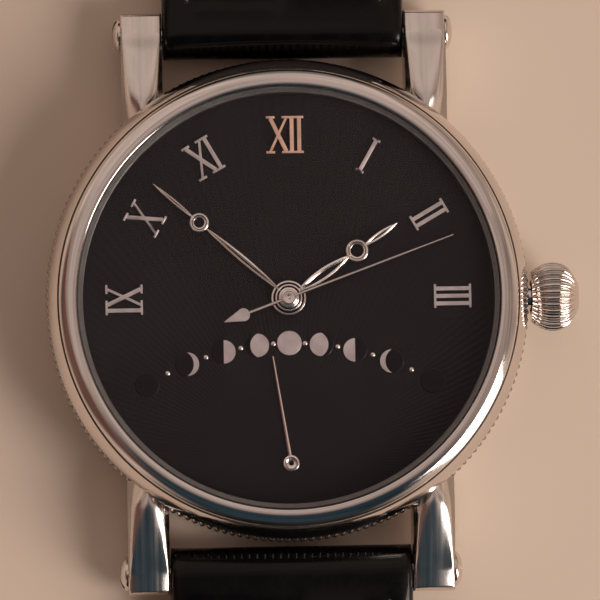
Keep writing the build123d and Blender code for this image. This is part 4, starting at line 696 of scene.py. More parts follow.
def striped(name, colour):
    """Plated metal with wide parallel waves and fine lines in them."""
    material, tree, shader, place = new_material(name)
    wave = node(
        tree, "ShaderNodeTexWave", Scale=110.0, Distortion=0.0, bands_direction="Y", wave_profile="SAW"
    )
    link(tree, place, wave.inputs["Vector"])
    group = use_group(
        tree, brushed_lines, Across=(60.0, 5200.0, 60.0), Low_roughness=0.16, High_roughness=0.32
    )
    link(tree, place, group.inputs["Vector"])
    toned(tree, shader, wave.outputs[1], shade(colour, 0.72), shade(colour, 1.12))
    height = math(tree, "ADD", wave.outputs[1], math(tree, "MULTIPLY", group.outputs["Height"], 0.2))
    link(tree, group.outputs["Roughness"], shader.inputs["Roughness"])
    set_inputs(shader, Metallic=1.0)
    bump(tree, shader, height, 0.35, 0.03)
    return material


def floor_paint(name, colour):
    """A plain pale floor."""
    material, _, shader, _ = new_material(name)
    set_inputs(shader, Base_Color=(*colour, 1), Roughness=0.7, Specular_IOR_Level=0.2)
    return material


# Geometry Nodes helpers


def repeat_tree(name, inputs):
    """A geometry tree with its named sizes, and its input and output nodes."""
    tree = bpy.data.node_groups.new(name, "GeometryNodeTree")
    tree.interface.new_socket("Geometry", in_out="INPUT", socket_type="NodeSocketGeometry")
    for label, kind in inputs:
        tree.interface.new_socket(label, in_out="INPUT", socket_type=kind)
    tree.interface.new_socket("Geometry", in_out="OUTPUT", socket_type="NodeSocketGeometry")
    return tree, tree.nodes.new("NodeGroupInput"), tree.nodes.new("NodeGroupOutput")


def close_tree(tree, entry, instances, out):
    """Realize the instances and set their material."""
    real = tree.nodes.new("GeometryNodeRealizeInstances")
    paint = tree.nodes.new("GeometryNodeSetMaterial")
    link(tree, instances, real.inputs[0])
    link(tree, real.outputs[0], paint.inputs["Geometry"])
    link(tree, entry.outputs["Material"], paint.inputs["Material"])
    link(tree, paint.outputs[0], out.inputs[0])


def ring_repeat():
    """Tree: a shape repeated round a vertical axis, facing outwards."""
    if "Ring repeat" in bpy.data.node_groups:
        return bpy.data.node_groups["Ring repeat"]
    tree, entry, out = repeat_tree(
        "Ring repeat",
        [
            ("Shape", "NodeSocketObject"),
            ("Count", "NodeSocketInt"),
            ("Radius", "NodeSocketFloat"),
            ("Level", "NodeSocketFloat"),
            ("Material", "NodeSocketMaterial"),
        ],
    )
    round_line = tree.nodes.new("GeometryNodeMeshCircle")
    link(tree, entry.outputs["Count"], round_line.inputs["Vertices"])
    link(tree, entry.outputs["Radius"], round_line.inputs["Radius"])
    lift = tree.nodes.new("GeometryNodeSetPosition")
    offset = tree.nodes.new("ShaderNodeCombineXYZ")
    link(tree, entry.outputs["Level"], offset.inputs["Z"])
    link(tree, round_line.outputs[0], lift.inputs["Geometry"])
    link(tree, offset.outputs[0], lift.inputs["Offset"])
    where = tree.nodes.new("GeometryNodeInputPosition")
    parts = tree.nodes.new("ShaderNodeSeparateXYZ")
    link(tree, where.outputs[0], parts.inputs[0])
    angle = node(tree, "ShaderNodeMath", operation="ARCTAN2")
    link(tree, parts.outputs["Y"], angle.inputs[0])
    link(tree, parts.outputs["X"], angle.inputs[1])
    turn = tree.nodes.new("ShaderNodeCombineXYZ")
    link(tree, angle.outputs[0], turn.inputs["Z"])
    info = tree.nodes.new("GeometryNodeObjectInfo")
    link(tree, entry.outputs["Shape"], info.inputs["Object"])
    place = tree.nodes.new("GeometryNodeInstanceOnPoints")
    link(tree, lift.outputs[0], place.inputs["Points"])
    link(tree, info.outputs["Geometry"], place.inputs["Instance"])
    link(tree, turn.outputs[0], place.inputs["Rotation"])
    close_tree(tree, entry, place.outputs[0], out)
    return tree


def point_repeat():
    """Tree: a shape repeated on the points of a mesh, turned by their stored angle."""
    if "Point repeat" in bpy.data.node_groups:
        return bpy.data.node_groups["Point repeat"]
    tree, entry, out = repeat_tree(
        "Point repeat", [("Shape", "NodeSocketObject"), ("Material", "NodeSocketMaterial")]
    )
    stored = node(tree, "GeometryNodeInputNamedAttribute", data_type="FLOAT_VECTOR", Name="turn")
    info = tree.nodes.new("GeometryNodeObjectInfo")
    link(tree, entry.outputs["Shape"], info.inputs["Object"])
    place = tree.nodes.new("GeometryNodeInstanceOnPoints")
    link(tree, entry.outputs["Geometry"], place.inputs["Points"])
    link(tree, info.outputs["Geometry"], place.inputs["Instance"])
    link(tree, stored.outputs["Attribute"], place.inputs["Rotation"])
    close_tree(tree, entry, place.outputs[0], out)
    return tree


def baked(tree, base, shape, values):
    """Run a tree on a base mesh with a shape, and return the plain mesh."""
    holder = bpy.data.objects.new("repeat base", base)
    stamp = bpy.data.objects.new("repeat shape", shape)
    for obj in (holder, stamp):
        bpy.context.scene.collection.objects.link(obj)
    modifier = holder.modifiers.new("Repeat", "NODES")
    modifier.node_group = tree
    sockets = {item.name: item.identifier for item in tree.interface.items_tree if item.in_out == "INPUT"}
    modifier[sockets["Shape"]] = stamp
    for label, value in values.items():
        modifier[sockets[label]] = value
    bpy.context.view_layer.update()
    mesh = bpy.data.meshes.new_from_object(holder.evaluated_get(bpy.context.evaluated_depsgraph_get()))
    bpy.data.objects.remove(holder)
    bpy.data.objects.remove(stamp)
    return mesh


def points_mesh(places):
    """A mesh of loose points in millimetres with a turn for each."""
    mesh = bpy.data.meshes.new("repeat points")
    mesh.from_pydata([(x * MM, y * MM, z * MM) for (x, y, z), _ in places], [], [])
    stored = mesh.attributes.new("turn", "FLOAT_VECTOR", "POINT")
    for item, (_, turn) in zip(stored.data, places):
        item.vector = turn
    return mesh


def through(stations, value):
    """The height at a place on a smooth curve through stations of (place, height)."""
    slopes = []
    for index in range(len(stations)):
        low, high = stations[max(index - 1, 0)], stations[min(index + 1, len(stations) - 1)]
        slopes.append((high[1] - low[1]) / (high[0] - low[0]))
    index = max(0, min(len(stations) - 2, sum(place <= value for place, _ in stations) - 1))
    (low, first), (high, second) = stations[index], stations[index + 1]
    span = high - low
    t = min(1.0, max(0.0, (value - low) / span))
    return (
        (2 * t**3 - 3 * t**2 + 1) * first
        + (t**3 - 2 * t**2 + t) * span * slopes[index]
        + (3 * t**2 - 2 * t**3) * second
        + (t**3 - t**2) * span * slopes[index + 1]
    )


def rounded(corners, steps=4):
    """A closed outline from corners of (x, y, radius)."""
    outline = []
    for index, (x, y, radius) in enumerate(corners):
        if not radius:
            outline.append((x, y))
            continue
        corner = Vector((x, y))
        before = Vector(corners[index - 1][:2]) - corner
        after = Vector(corners[(index + 1) % len(corners)][:2]) - corner
        half = before.angle(after) / 2
        back = min(radius / tan(half), before.length * 0.49, after.length * 0.49)
        centre = corner + (before.normalized() + after.normalized()).normalized() * (back / cos(half))
        start = corner + before.normalized() * back - centre
        end = corner + after.normalized() * back - centre
        first = atan2(start.y, start.x)
        turn = (atan2(end.y, end.x) - first + pi) % (2 * pi) - pi
        for step in range(steps + 1):
            angle = first + turn * step / steps
            outline.append((centre.x + start.length * cos(angle), centre.y + start.length * sin(angle)))
    return outline


def evaluated(mesh, add_modifiers):
    """The mesh with modifiers run on it."""
    holder = bpy.data.objects.new("work", mesh)
    bpy.context.scene.collection.objects.link(holder)
    extra = add_modifiers(holder) or []
    bpy.context.view_layer.update()
    result = bpy.data.meshes.new_from_object(holder.evaluated_get(bpy.context.evaluated_depsgraph_get()))
    for obj in [holder, *extra]:
        bpy.data.objects.remove(obj)
    return result


def weighted(mesh, crease=60):
    """The mesh smooth shaded, its wide faces kept flat and its rounded rims blended."""
    work = bmesh.new()
    work.from_mesh(mesh)
    bmesh.ops.remove_doubles(work, verts=work.verts, dist=0.001 * MM)
    bmesh.ops.dissolve_degenerate(work, edges=work.edges, dist=0.0005 * MM)
    bmesh.ops.recalc_face_normals(work, faces=work.faces)
    work.to_mesh(mesh)
    work.free()
    mesh.shade_smooth()
    mesh.set_sharp_from_angle(angle=radians(crease))

    def add_modifiers(holder):
        modifier = holder.modifiers.new("Weigh", "WEIGHTED_NORMAL")
        modifier.keep_sharp = True
        modifier.weight = 90

    return evaluated(mesh, add_modifiers)


def boolean(mesh, others, operation):
    """The mesh cut by or joined with others."""

    def add_modifiers(holder):
        extra = []
        for other in others:
            tool = bpy.data.objects.new("tool", other)
            bpy.context.scene.collection.objects.link(tool)
            modifier = holder.modifiers.new("Boolean", "BOOLEAN")
            modifier.operation = operation
            modifier.solver = "EXACT"
            modifier.object = tool
            tool.hide_render = True
            extra.append(tool)
        return extra

    return evaluated(mesh, add_modifiers)


def prism(outline, low, high):
    """An upright prism in metres on an outline in millimetres."""
    count = len(outline)
    points = [(x, y, level) for level in (low, high) for x, y in outline]
    faces = [tuple(range(count - 1, -1, -1)), tuple(range(count, 2 * count))]
    faces += [(i, (i + 1) % count, count + (i + 1) % count, count + i) for i in range(count)]
    return as_mesh(points, faces)


def piece(name, body, slot, mesh, *materials, replaces=()):
    """Put a finished mesh on a body, with its materials in order."""
    mesh.name = name
    while len(mesh.materials) < len(materials):
        mesh.materials.append(None)
    for index, material in enumerate(materials):
        mesh.materials[index] = material
    made = bpy.data.objects.new(name, mesh)
    bpy.context.scene.collection.objects.link(made)
    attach(made, body)
    if replaces:
        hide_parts(*replaces)
    return made


def in_ring(inner, outer, centre_y=0.0, low=-1.0, high=99.0):
    """A test for faces that lie between two radii and two levels."""
    return lambda centre, _: inner < hypot(centre.x, centre.y - centre_y) < outer and low < centre.z < high


def paint(mesh, test, index):
    """Give a material's index to the faces whose centre in millimetres and normal pass a test."""
    for face in mesh.polygons:
        if test(face.center / MM, face.normal):
            face.material_index = index


def turned(mesh, angle, centre=(0, 0)):
    """The mesh turned clockwise by degrees about a centre in millimetres."""
    place = Vector((centre[0] * MM, centre[1] * MM, 0))
    mesh.transform(Matrix.Translation(place) @ Matrix.Rotation(-radians(angle), 4, "Z"))
    return mesh


def lying(mesh, place):
    """The mesh with its axis laid along X, at a place in millimetres."""
    mesh.transform(Matrix.Translation(Vector(place) * MM) @ Matrix.Rotation(radians(90), 4, "Y"))
    return mesh


# Case


def make_case(scene):
    """Band, bezel, crystal, lugs, screws and case back."""
    sizes = in_millimetres(scene.watch_case)
    steel = finish("polished_steel")
    make_band(sizes, steel)
    make_bezel(sizes, steel)
    make_crystal(sizes)
    make_lugs(sizes)
    make_bar_screws(sizes, steel)
    make_case_back()


def make_band(sizes, steel):
    """The case band: a ring with plain rims, and flutes in the hollow between them."""
    low, top, rim = sizes.band_bottom, sizes.band_top, sizes.band_plain_radius
    bore, seat, seat_depth = 17.6, 18.2, 0.8
    rim_height, hollow, chamfer = 1.0, 0.12, 0.08
    flute_low, flute_top = low + rim_height, top - rim_height
    ring = rounded(
        [
            (bore, low, 0),
            (rim, low, 0.35),
            (rim, flute_low, chamfer),
            (rim - hollow, flute_low + chamfer, 0),
            (rim - hollow, flute_top - chamfer, 0),
            (rim, flute_top, chamfer),
            (rim, top, 0.14),
            (seat, top, 0),
            (seat, top - seat_depth, 0),
            (bore, top - seat_depth, 0),
        ]
    )
    core = weighted(as_mesh(*lathe(ring, 256)))
    # The flutes get steel darkened as painted shade
    values = {
        "Count": sizes.flute_count,
        "Radius": rim * MM,
        "Level": 0.0,
        "Material": finish("band_steel"),
    }
    tooth = flute(sizes, flute_low, flute_top)
    teeth = baked(ring_repeat(), bpy.data.meshes.new("ring base"), tooth, values)
    flutes = weighted(teeth, 50)
    piece("case_band", "case", "polished_steel", core, steel, replaces=["case_middle"])
    piece("band_flutes", "case", "polished_steel", flutes, finish("band_steel"))


def flute(sizes, low, top):
    """One flute with round ends, standing out along +X from the band's plain radius."""
    root, foot = -0.25, -0.1
    rise = sizes.band_radius - sizes.band_plain_radius
    half = pi * sizes.band_radius / sizes.flute_count * 0.96
    end_shares = ((0.02, 0.0), (0.12, 0.62), (0.32, 0.95), (0.6, 1.0))
    levels = [(low + inset, share) for inset, share in end_shares]
    levels += [(top - inset, share) for inset, share in reversed(end_shares)]
    sections = []
    for level, share in levels:
        row = [(root, -half * 0.9, level), (root, half * 0.9, level)]
        for step in range(9):
            angle = pi * step / 8
            row.append((foot + (rise - foot) * share * sin(angle) ** 0.75, half * cos(angle), level))
        sections.append(row)
    return as_mesh(*tube(sections))


def make_bezel(sizes, steel):
    """The bezel: an outer slope, a groove and a rounded inner ring, with the flange inside it; the flange and
    the groove's floor get darkened steel as painted shade.
    """
    outer, low, ridge, sight = sizes.bezel_radius, sizes.bezel_bottom, sizes.ridge_radius, sizes.sight_radius
    spigot, spigot_bore, spigot_low = 18.17, 17.5, 6.23
    flange_edge, flange_low, flange_top = 17.6, 7.45, 8.95
    wall_top, groove_level, groove_half = 7.42, 8.92, 0.03
    slope = arc((outer, wall_top), (19.66, 8.27), (19.22, 9.02), 10)
    inner_ring = arc((ridge - groove_half, 9.28), (18.4, 9.67), (17.64, 9.7), 18)
    corners = [
        (sight, flange_top, 0.05),
        (sight, flange_low, 0),
        (spigot_bore, flange_low, 0),
        (spigot_bore, spigot_low, 0),
        (spigot, spigot_low, 0),
        (spigot, low, 0),
        (outer, low, 0.1),
        (outer, wall_top, 0.06),
        *((radius, level, 0) for radius, level in slope),
        (ridge + groove_half, groove_level, 0),
        (ridge - groove_half, groove_level, 0),
        (ridge - groove_half, 9.26, 0),
        *((radius, level, 0) for radius, level in inner_ring),
        (flange_edge, 9.66, 0),
        (flange_edge, flange_top, 0),
    ]
    mesh = weighted(as_mesh(*lathe(rounded(corners), 360)), 40)
    # Painted shade: darkened steel on the recessed flange and on the groove's floor
    paint(mesh, in_ring(0, flange_edge + 0.01), 1)
    paint(mesh, in_ring(ridge - 0.04, ridge + 0.09, low=8.9, high=9.0), 1)
    piece("bezel_ring", "case", "polished_steel", mesh, steel, finish("flange_steel"), replaces=["bezel"])


def make_crystal(sizes):
    """The domed crystal."""
    level, edge, rise = sizes.crystal_level, sizes.crystal_edge, sizes.crystal_dome
    radius, chamfer = 17.47, 0.14
    flat = radius - chamfer
    outline = [(0.0, level), (radius, level), (radius, level + edge - chamfer), (flat, level + edge)]
    for step in range(1, 25):
        reach = flat * (1 - step / 24)
        outline.append((reach, level + edge + rise * (1 - (reach / flat) ** 2)))
    mesh = weighted(as_mesh(*lathe(outline, 192)), 30)
    piece("domed_crystal", "case", "sapphire", mesh, finish("sapphire"), replaces=["crystal"])


def make_lugs(sizes):
    """Four lugs: a flat facet widens from the case to the tip, between sloped sides."""
    centre = sizes.lug_inner + sizes.lug_width / 2
    half = sizes.lug_width / 2
    facet_shares = [(11.8, 0.05), (15.5, 0.05), (17.35, 0.45), (20.8, 0.72), (22.65, 0.86), (24.5, 0.9)]
    tops = [(11.8, 6.65), (15.5, 6.65), (17.35, 6.56), (20.8, 5.62), (22.65, 4.85), (24.5, 4.29)]
    tip, reach, height = sizes.lug_tip_radius, sizes.bar_reach, sizes.bar_height
    case_side, foot, foot_rise, slope = 19.25, 1.4, 0.25, tan(radians(32))
    rows = [13.4 + 0.3 * step for step in range(31)]
    rows += [reach + tip * sin(radians(4.5 + 4.5 * step)) for step in range(20)]

    def section(station):
        """Points round the lug at a distance from the centre: foot, sides and facet."""
        facet = half * through(facet_shares, station)
        row = []
        for x, part in (
            (-half, "foot"),
            (half, "foot"),
            (half, "side"),
            (facet, "top"),
            (0.0, "top"),
            (-facet, "top"),
            (-half, "side"),
        ):
            y = max(station, sqrt(case_side**2 - (centre + x) ** 2))
            crest = through(tops, y)
            if part == "side":
                crest -= slope * (half - half * through(facet_shares, y))
            low = foot - foot_rise * smooth_step((y - 15) / 6)
            if y > reach:
                drop = tip * max(0.0, 1 - ((y - reach) / tip) ** 3) ** (1 / 3)
                crest, low = min(crest, height + drop), max(low, height - drop)
            row.append((centre + x, y, low if part == "foot" else crest))
        return row

    sections = [section(station) for station in rows]
    quarter = bevelled(as_mesh(*tube(sections)), 0.1, 2, 24)
    quarter = weighted(quarter, 70)
    meshes = []
    for flip_x in (1, -1):
        for flip_y in (1, -1):
            copy = quarter.copy()
            copy.transform(Matrix.Diagonal((flip_x, flip_y, 1, 1)))
            if flip_x * flip_y < 0:
                copy.flip_normals()
            meshes.append(copy)
    mesh = weighted(join(meshes), 70)
    piece("lug_set", "case", "polished_steel", mesh, finish("lug_steel"), replaces=["lugs"])


def screw_dome(radius, height, slot_width, slot_depth, slot_turn):
    """A domed, slotted screw head standing on a level, axis up, in metres."""
    half, edge, columns = slot_width / 2, 0.1, 21

    def level(u, v):
        share = min(1.0, (u * u + v * v) / radius**2)
        return edge + (height - edge) * sqrt(max(0.0, 1 - share)) ** 1.15

    lines = [-radius * cos(radians(90 * step / 10)) for step in range(10)]
    lines = [line for line in lines if line < -half - 0.02]
    lines = lines + [-half, -half]
    walls = [0] * (len(lines) - 1) + [1]
    lines, walls = lines + [-u for u in reversed(lines)], walls + list(reversed(walls))
    points, rows = [], []
    for u, in_slot in zip(lines, walls):
        span = sqrt(max(0.0, radius**2 - u * u))
        row = []
        for step in range(columns):
            v = -span * cos(pi * step / (columns - 1))
            z = min(level(u, v), height - slot_depth) if in_slot else level(u, v)
            row.append(len(points))
            points.append((u, v, z))
        rows.append(row)
    faces = grid_faces(len(rows), columns)
    rim = [row[0] for row in rows] + rows[-1] + [row[-1] for row in reversed(rows)] + list(reversed(rows[0]))
    rim = [index for place, index in enumerate(rim) if index != rim[place - 1]]
    base = len(points)
    points += [(points[index][0], points[index][1], 0.0) for index in rim]
    count = len(rim)
    faces += [(rim[i], rim[(i + 1) % count], base + (i + 1) % count, base + i) for i in range(count)]
    faces.append(tuple(range(base, base + count)))
    mesh = as_mesh(points, faces)
    mesh.transform(Matrix.Rotation(radians(slot_turn), 4, "Z"))
    return mesh


def make_bar_screws(sizes, steel):
    """Domed screws on the outer faces of the lugs, with the shanks that go in to hold the bars."""
    face = sizes.lug_inner + sizes.lug_width + 0.03
    shaft_radius, shaft_top = 0.5, 0.05
    profile = [
        (0.0, -sizes.lug_width),
        (shaft_radius, -sizes.lug_width),
        (shaft_radius, shaft_top),
        (0.0, shaft_top),
    ]
    meshes = []
    for index, (side, end) in enumerate(((1, 1), (1, -1), (-1, 1), (-1, -1))):
        head = screw_dome(
            radius=1.5, height=0.72, slot_width=0.36, slot_depth=0.4, slot_turn=20 + 63 * index
        )
        screw = join([head, as_mesh(*lathe(profile, 24))])
        screw.transform(Matrix.Rotation(radians(90 * side), 4, "Y"))
        place = Vector((side * face, end * sizes.bar_reach, sizes.bar_height)) * MM
        screw.transform(Matrix.Translation(place))
        meshes.append(screw)
    mesh = weighted(join(meshes), 50)
    piece("lug_screws", "case", "polished_steel", mesh, steel, replaces=["strap_bar_screws"])


def make_case_back():
    """The case back ring with six wells for its screws round the window."""
    rim, window, rebate, spigot, spigot_bore = 19.2, 13.02, 13.62, 17.5, 16.9
    ring_top, spigot_top, floor, ledge = 1.0, 1.9, 1.24, 0.23
    corners = [
        (window, 0.0, 0.12),
        (rim - 0.3, 0.0, 0.1),
        (rim, 0.3, 0.1),
        (rim, ring_top, 0),
        (spigot, ring_top, 0),
        (spigot, spigot_top, 0.1),
        (spigot_bore, spigot_top, 0.1),
        (spigot_bore, floor, 0),
        (rebate, floor, 0),
        (rebate, ledge, 0),
        (window, ledge, 0),
    ]
    ring = as_mesh(*lathe(rounded(corners), 240))
    screw_circle, well = 18.4, [(0, -0.5), (0.6, -0.5), (0.6, 0.3), (0, 0.3)]
    spots = [polar((0, 0), screw_circle, 60 * step) for step in range(6)]
    wells = [as_mesh(*lathe(well, 32, spot)) for spot in spots]
    mesh = weighted(boolean(ring, wells, "DIFFERENCE"), 40)
    piece("case_back_ring", "case", "polished_steel", mesh, finish("back_steel"), replaces=["case_back"])


def level_ring(radius, level, count):
    """Points of a circle on a level."""
    return [(*polar((0, 0), radius, 360 * step / count), level) for step in range(count)]


def make_crown(scene):
    """The fluted crown."""
    sizes = in_millimetres(scene.watch_case)
    largest, length, count, rows = sizes.crown_radius, sizes.crown_length, sizes.crown_flutes * 12, 44
    bore, bore_depth, flute_depth, face_share, tip_share = 1.42, 1.7, 0.125, 0.68, 0.36
    radius_shares = [(0, 0.72), (0.1, 0.83), (0.28, 0.96), (0.45, 1)]
    radius_shares += [(0.62, 0.97), (0.78, 0.86), (0.91, 0.64), (1, 0.4)]
    sections = [
        level_ring(bore, bore_depth, count),
        level_ring(bore, 0.1, count),
        level_ring(bore + 0.08, 0.0, count),
        level_ring(face_share * largest, 0.0, count),
    ]
    for row in range(rows + 1):
        along = row / rows
        base = through(radius_shares, along) * largest
        outer_share = 0.25 + 0.75 * smooth_step((1 - along) / 0.25)
        inner_share = 0.4 + 0.6 * smooth_step(along / 0.1)
        depth = flute_depth * outer_share * inner_share
        ring = []
        for column in range(count):
            angle = 2 * pi * column / count
            wave = abs(sin(angle * sizes.crown_flutes / 2))
            radius = base * (1 - depth * (1 - wave) ** 1.7)
            ring.append((radius * cos(angle), radius * sin(angle), along * length))
        sections.append(ring)
    sections.append(level_ring(tip_share * largest, length, count))
    sections.append(level_ring(tip_share * largest - 0.12, length, count))
    points, faces = tube(sections)
    mesh = lying(weighted(as_mesh(points, faces), 46), (sizes.crown_start, 0, sizes.stem_height))
    piece("fluted_crown", "crown", "polished_steel", mesh, finish("polished_steel"), replaces=["crown"])


# Dial and what stands on it


def make_dial(sizes):
    """The dial, with rays that spread from the moon hand's pivot."""
    count, top, radius = 2 * sizes.ray_count, sizes.dial_top, sizes.dial_radius
    pivot = (0.0, -sizes.moon_pivot)
    thickness, rim_gap, ray_fade = 0.4, 0.03, 1.5
    reaches = [2.5, 4.5, sizes.ray_start, sizes.ray_start + 0.7, sizes.ray_start + ray_fade]
    reaches += [10.0, 13.0, 16.0, 20.0, 24.0, 28.0, 99.0]
    points, rows = [(*pivot, top)], []
    for reach in reaches:
        row = []
        for column in range(count):
            angle = 360 * column / count
            ux, uy = cos(radians(angle)), sin(radians(angle))
            along = pivot[0] * ux + pivot[1] * uy
            rim = -along + sqrt(along**2 - sizes.moon_pivot**2 + (radius - rim_gap) ** 2)
            distance = min(reach, rim)
            depth = column % 2 * sizes.ray_depth * smooth_step((distance - sizes.ray_start) / ray_fade)
            row.append(len(points))
            points.append((*polar(pivot, distance, angle), top - depth))
        rows.append(row)
    faces = [(0, rows[0][i], rows[0][(i + 1) % count]) for i in range(count)]
    for first, second in zip(rows, rows[1:]):
        for i in range(count):
            after = (i + 1) % count
            faces.append((first[i], second[i], second[after], first[after]))
    for level, shrink in ((top - 0.05, 0.0), (top - thickness, 0.0), (top - thickness, 14.0)):
        row = []
        for index in rows[-1]:
            x, y, _ = points[index]
            scale = (radius - shrink) / hypot(x, y)
            row.append(len(points))
            points.append((x * scale, y * scale, level))
        last = rows[-1]
        faces += [(last[i], row[i], row[(i + 1) % count], last[(i + 1) % count]) for i in range(count)]
        rows.append(row)
    faces.append(tuple(rows[-1]))
    mesh = as_mesh(points, faces)
    work = bmesh.new()
    work.from_mesh(mesh)
    bmesh.ops.remove_doubles(work, verts=work.verts, dist=0.004 * MM)
    bmesh.ops.recalc_face_normals(work, faces=work.faces)
    work.to_mesh(mesh)
    work.free()
    mesh.shade_flat()
    piece("rayed_dial", "case", "black_dial", mesh, finish("dial_black"), replaces=["dial"])


def stroke(start, end, width, relief):
    """A straight bar between two points, of a height."""
    away = Vector(end) - Vector(start)
    side = Vector((-away.y, away.x)).normalized() * width / 2
    a, b = Vector(start), Vector(end)
    return prism([tuple(p) for p in (a - side, b - side, b + side, a + side)], 0, relief)


def numeral(letters, relief):
    """A Roman numeral, centred, standing on the level 0, in metres."""
    thick, thin, pitch, cross, height, serif, serif_width = 0.32, 0.2, 0.62, 1.3, 3.1, 0.18, 0.72
    top = height / 2
    width_of = {"I": pitch, "X": cross + thick}
    cursor = -sum(width_of[letter] for letter in letters) / 2
    meshes = []
    for letter in letters:
        middle = cursor + width_of[letter] / 2
        feet = [middle]
        strokes = [((middle, -top + 0.01), (middle, top - 0.01), thick)]
        if letter == "X":
            low, high = middle - cross / 2, middle + cross / 2
            strokes = [
                ((low, top - serif), (high, serif - top), thick),
                ((low, serif - top), (high, top - serif), thin),
            ]
            feet = [low, high]
        for foot in feet:
            for sign in (-1, 1):
                edge = sign * (top - serif / 2)
                strokes.append(((foot - serif_width / 2, edge), (foot + serif_width / 2, edge), serif))
        meshes += [stroke(start, end, width, relief) for start, end, width in strokes]
        cursor += width_of[letter]
    whole = boolean(meshes[0], meshes[1:], "UNION")
    return bevelled(whole, 0.035, 2, 40)


def make_numerals(sizes):
    """The hour numerals and the mark at twelve."""
    letters = {1: "I", 2: "II", 3: "III", 9: "IX", 10: "X", 11: "XI", 12: "XII"}
    circle_radius, relief = 13.65, 0.25
    meshes = {}
    for hour, text in letters.items():
        mesh = numeral(text, relief)
        mesh.transform(Matrix.Translation((0, circle_radius * MM, sizes.dial_top * MM)))
        turned(mesh, 30 * (hour % 12))
        meshes[hour] = weighted(mesh, 50)
    twelve = meshes.pop(12)
    hours = weighted(join(list(meshes.values())), 50)
    piece("hour_figures", "case", "applied_metal", hours, finish("applied_metal"), replaces=["hour_numerals"])
    piece("twelve_figure", "case", "rose_gold", twelve, finish("rose_gold"), replaces=["numeral_twelve"])


def moon_place(sizes, angle):
    """The point of the moons' arc at an angle from straight up, seen from the pivot."""
    drop = sizes.moon_arc - sizes.moon_arc_top
    rise = drop * cos(radians(angle))
    reach = sqrt(rise**2 + sizes.moon_arc**2 - drop**2) - rise
    return polar((0, -sizes.moon_pivot), reach, 90 - angle)


def make_moons(sizes):
    """Nine moons and the pips between them."""
    radius, base, step = sizes.moon_disc, sizes.dial_top, sizes.moon_step
    dark_edge, dark_top, lit_low, lit_top = 0.045, 0.08, 0.07, 0.18
    crescent, half_moon, gibbous = (1, 0.55), (2, 0.0), (3, -0.6)
    places = [moon_place(sizes, step * index) for index in range(-4, 5)]
    profile = [(0, 0), (radius, 0), (radius, dark_edge), (radius - 0.06, dark_top), (0, dark_top)]
    disc = as_mesh(*lathe(profile, 64))
    spots = [((*place, base), (0, 0, 0)) for index, place in enumerate(places) if index != 4]
    black = finish("disc_black_and_groove_shade")
    dark = baked(point_repeat(), points_mesh(spots), disc, {"Material": black})
    piece("dark_moons", "case", "dark_disc", weighted(dark, 30), black, replaces=["moon_discs_dark"])
    plates = []
    lit = radius - 0.05
    for index, share in (crescent, half_moon, gibbous):
        for side in (-1, 1):
            x, y = places[index] if side < 0 else places[8 - index]
            outline = [(-side * lit * cos(radians(t)), lit * sin(radians(t))) for t in range(-90, 91, 6)]
            if share:
                back = arc((0, lit), (share * lit, 0), (0, -lit), 24)[:-1]
                outline += [(-side * u, v) for u, v in back]
            if side > 0:
                outline.reverse()
            plates.append(prism([(x + u, y + v) for u, v in outline], base + lit_low, base + lit_top))
    crest = base + lit_top
    profile = [(0, base), (radius, base), (radius, base + 0.15), (radius - 0.03, crest), (0, crest)]
    plates.append(as_mesh(*lathe(profile, 64, places[4])))
    mesh = weighted(join(plates), 30)
    piece("lit_moons", "case", "applied_metal", mesh, finish("applied_metal"), replaces=["moon_discs_lit"])
    pip, foot, rise = 0.22, 0.03, 0.13
    dome = [(pip * cos(radians(turn)), foot + rise * sin(radians(turn))) for turn in range(0, 90, 15)]
    bead = as_mesh(*lathe([(0, 0), (pip, 0.0), *dome, (0, foot + rise)], 24))
    spots = [((*moon_place(sizes, step * (2 * index + 1) / 2), base), (0, 0, 0)) for index in range(-4, 4)]
    pips = baked(point_repeat(), points_mesh(spots), bead, {"Material": finish("hand_metal")})
    piece("moon_pips", "case", "applied_metal", weighted(pips, 40), finish("hand_metal"))


# Hands


# Their angles in the photograph, clockwise from the top
HOUR_ANGLE, MINUTE_ANGLE, SECONDS_ANGLE, MOON_ANGLE = 56.2, -49.1, 69.9, -8.9


def slit_leaf(start, end, width, arms, low, edge, crest):
    """A leaf along +Y made of a left and a right arm, each with a ridge, and a slit between them."""
    parts, steps = [], 28
    for side, arm in zip((-1, 1), arms):
        sections = []
        for step in range(steps + 1):
            share = step / steps
            half = max(0.025, width / 2 * (1 - (2 * share**0.9 - 1) ** 2) ** 0.9)
            inner = max(0.0, half - arm)
            rise = edge + (crest - edge) * min(1.0, (half - inner) / (arm * 0.8))
            y = start + (end - start) * share
            across = (inner, half, half, (half + inner) / 2, inner)
            levels = (low, low, low + edge, low + rise, low + edge)
            row = [(side * x, y, z) for x, z in zip(across, levels)]
            sections.append(row[::side])
        parts.append(as_mesh(*tube(sections)))
    return join(parts)


def stepped_ring(corners, low, centre_y=0.0):
    """A turned ring from corners of (radius, height over its level, rounding)."""
    outline = rounded([(radius, low + lift, rounding) for radius, lift, rounding in corners], 3)
    return as_mesh(*lathe(outline, 72, (0, centre_y)))


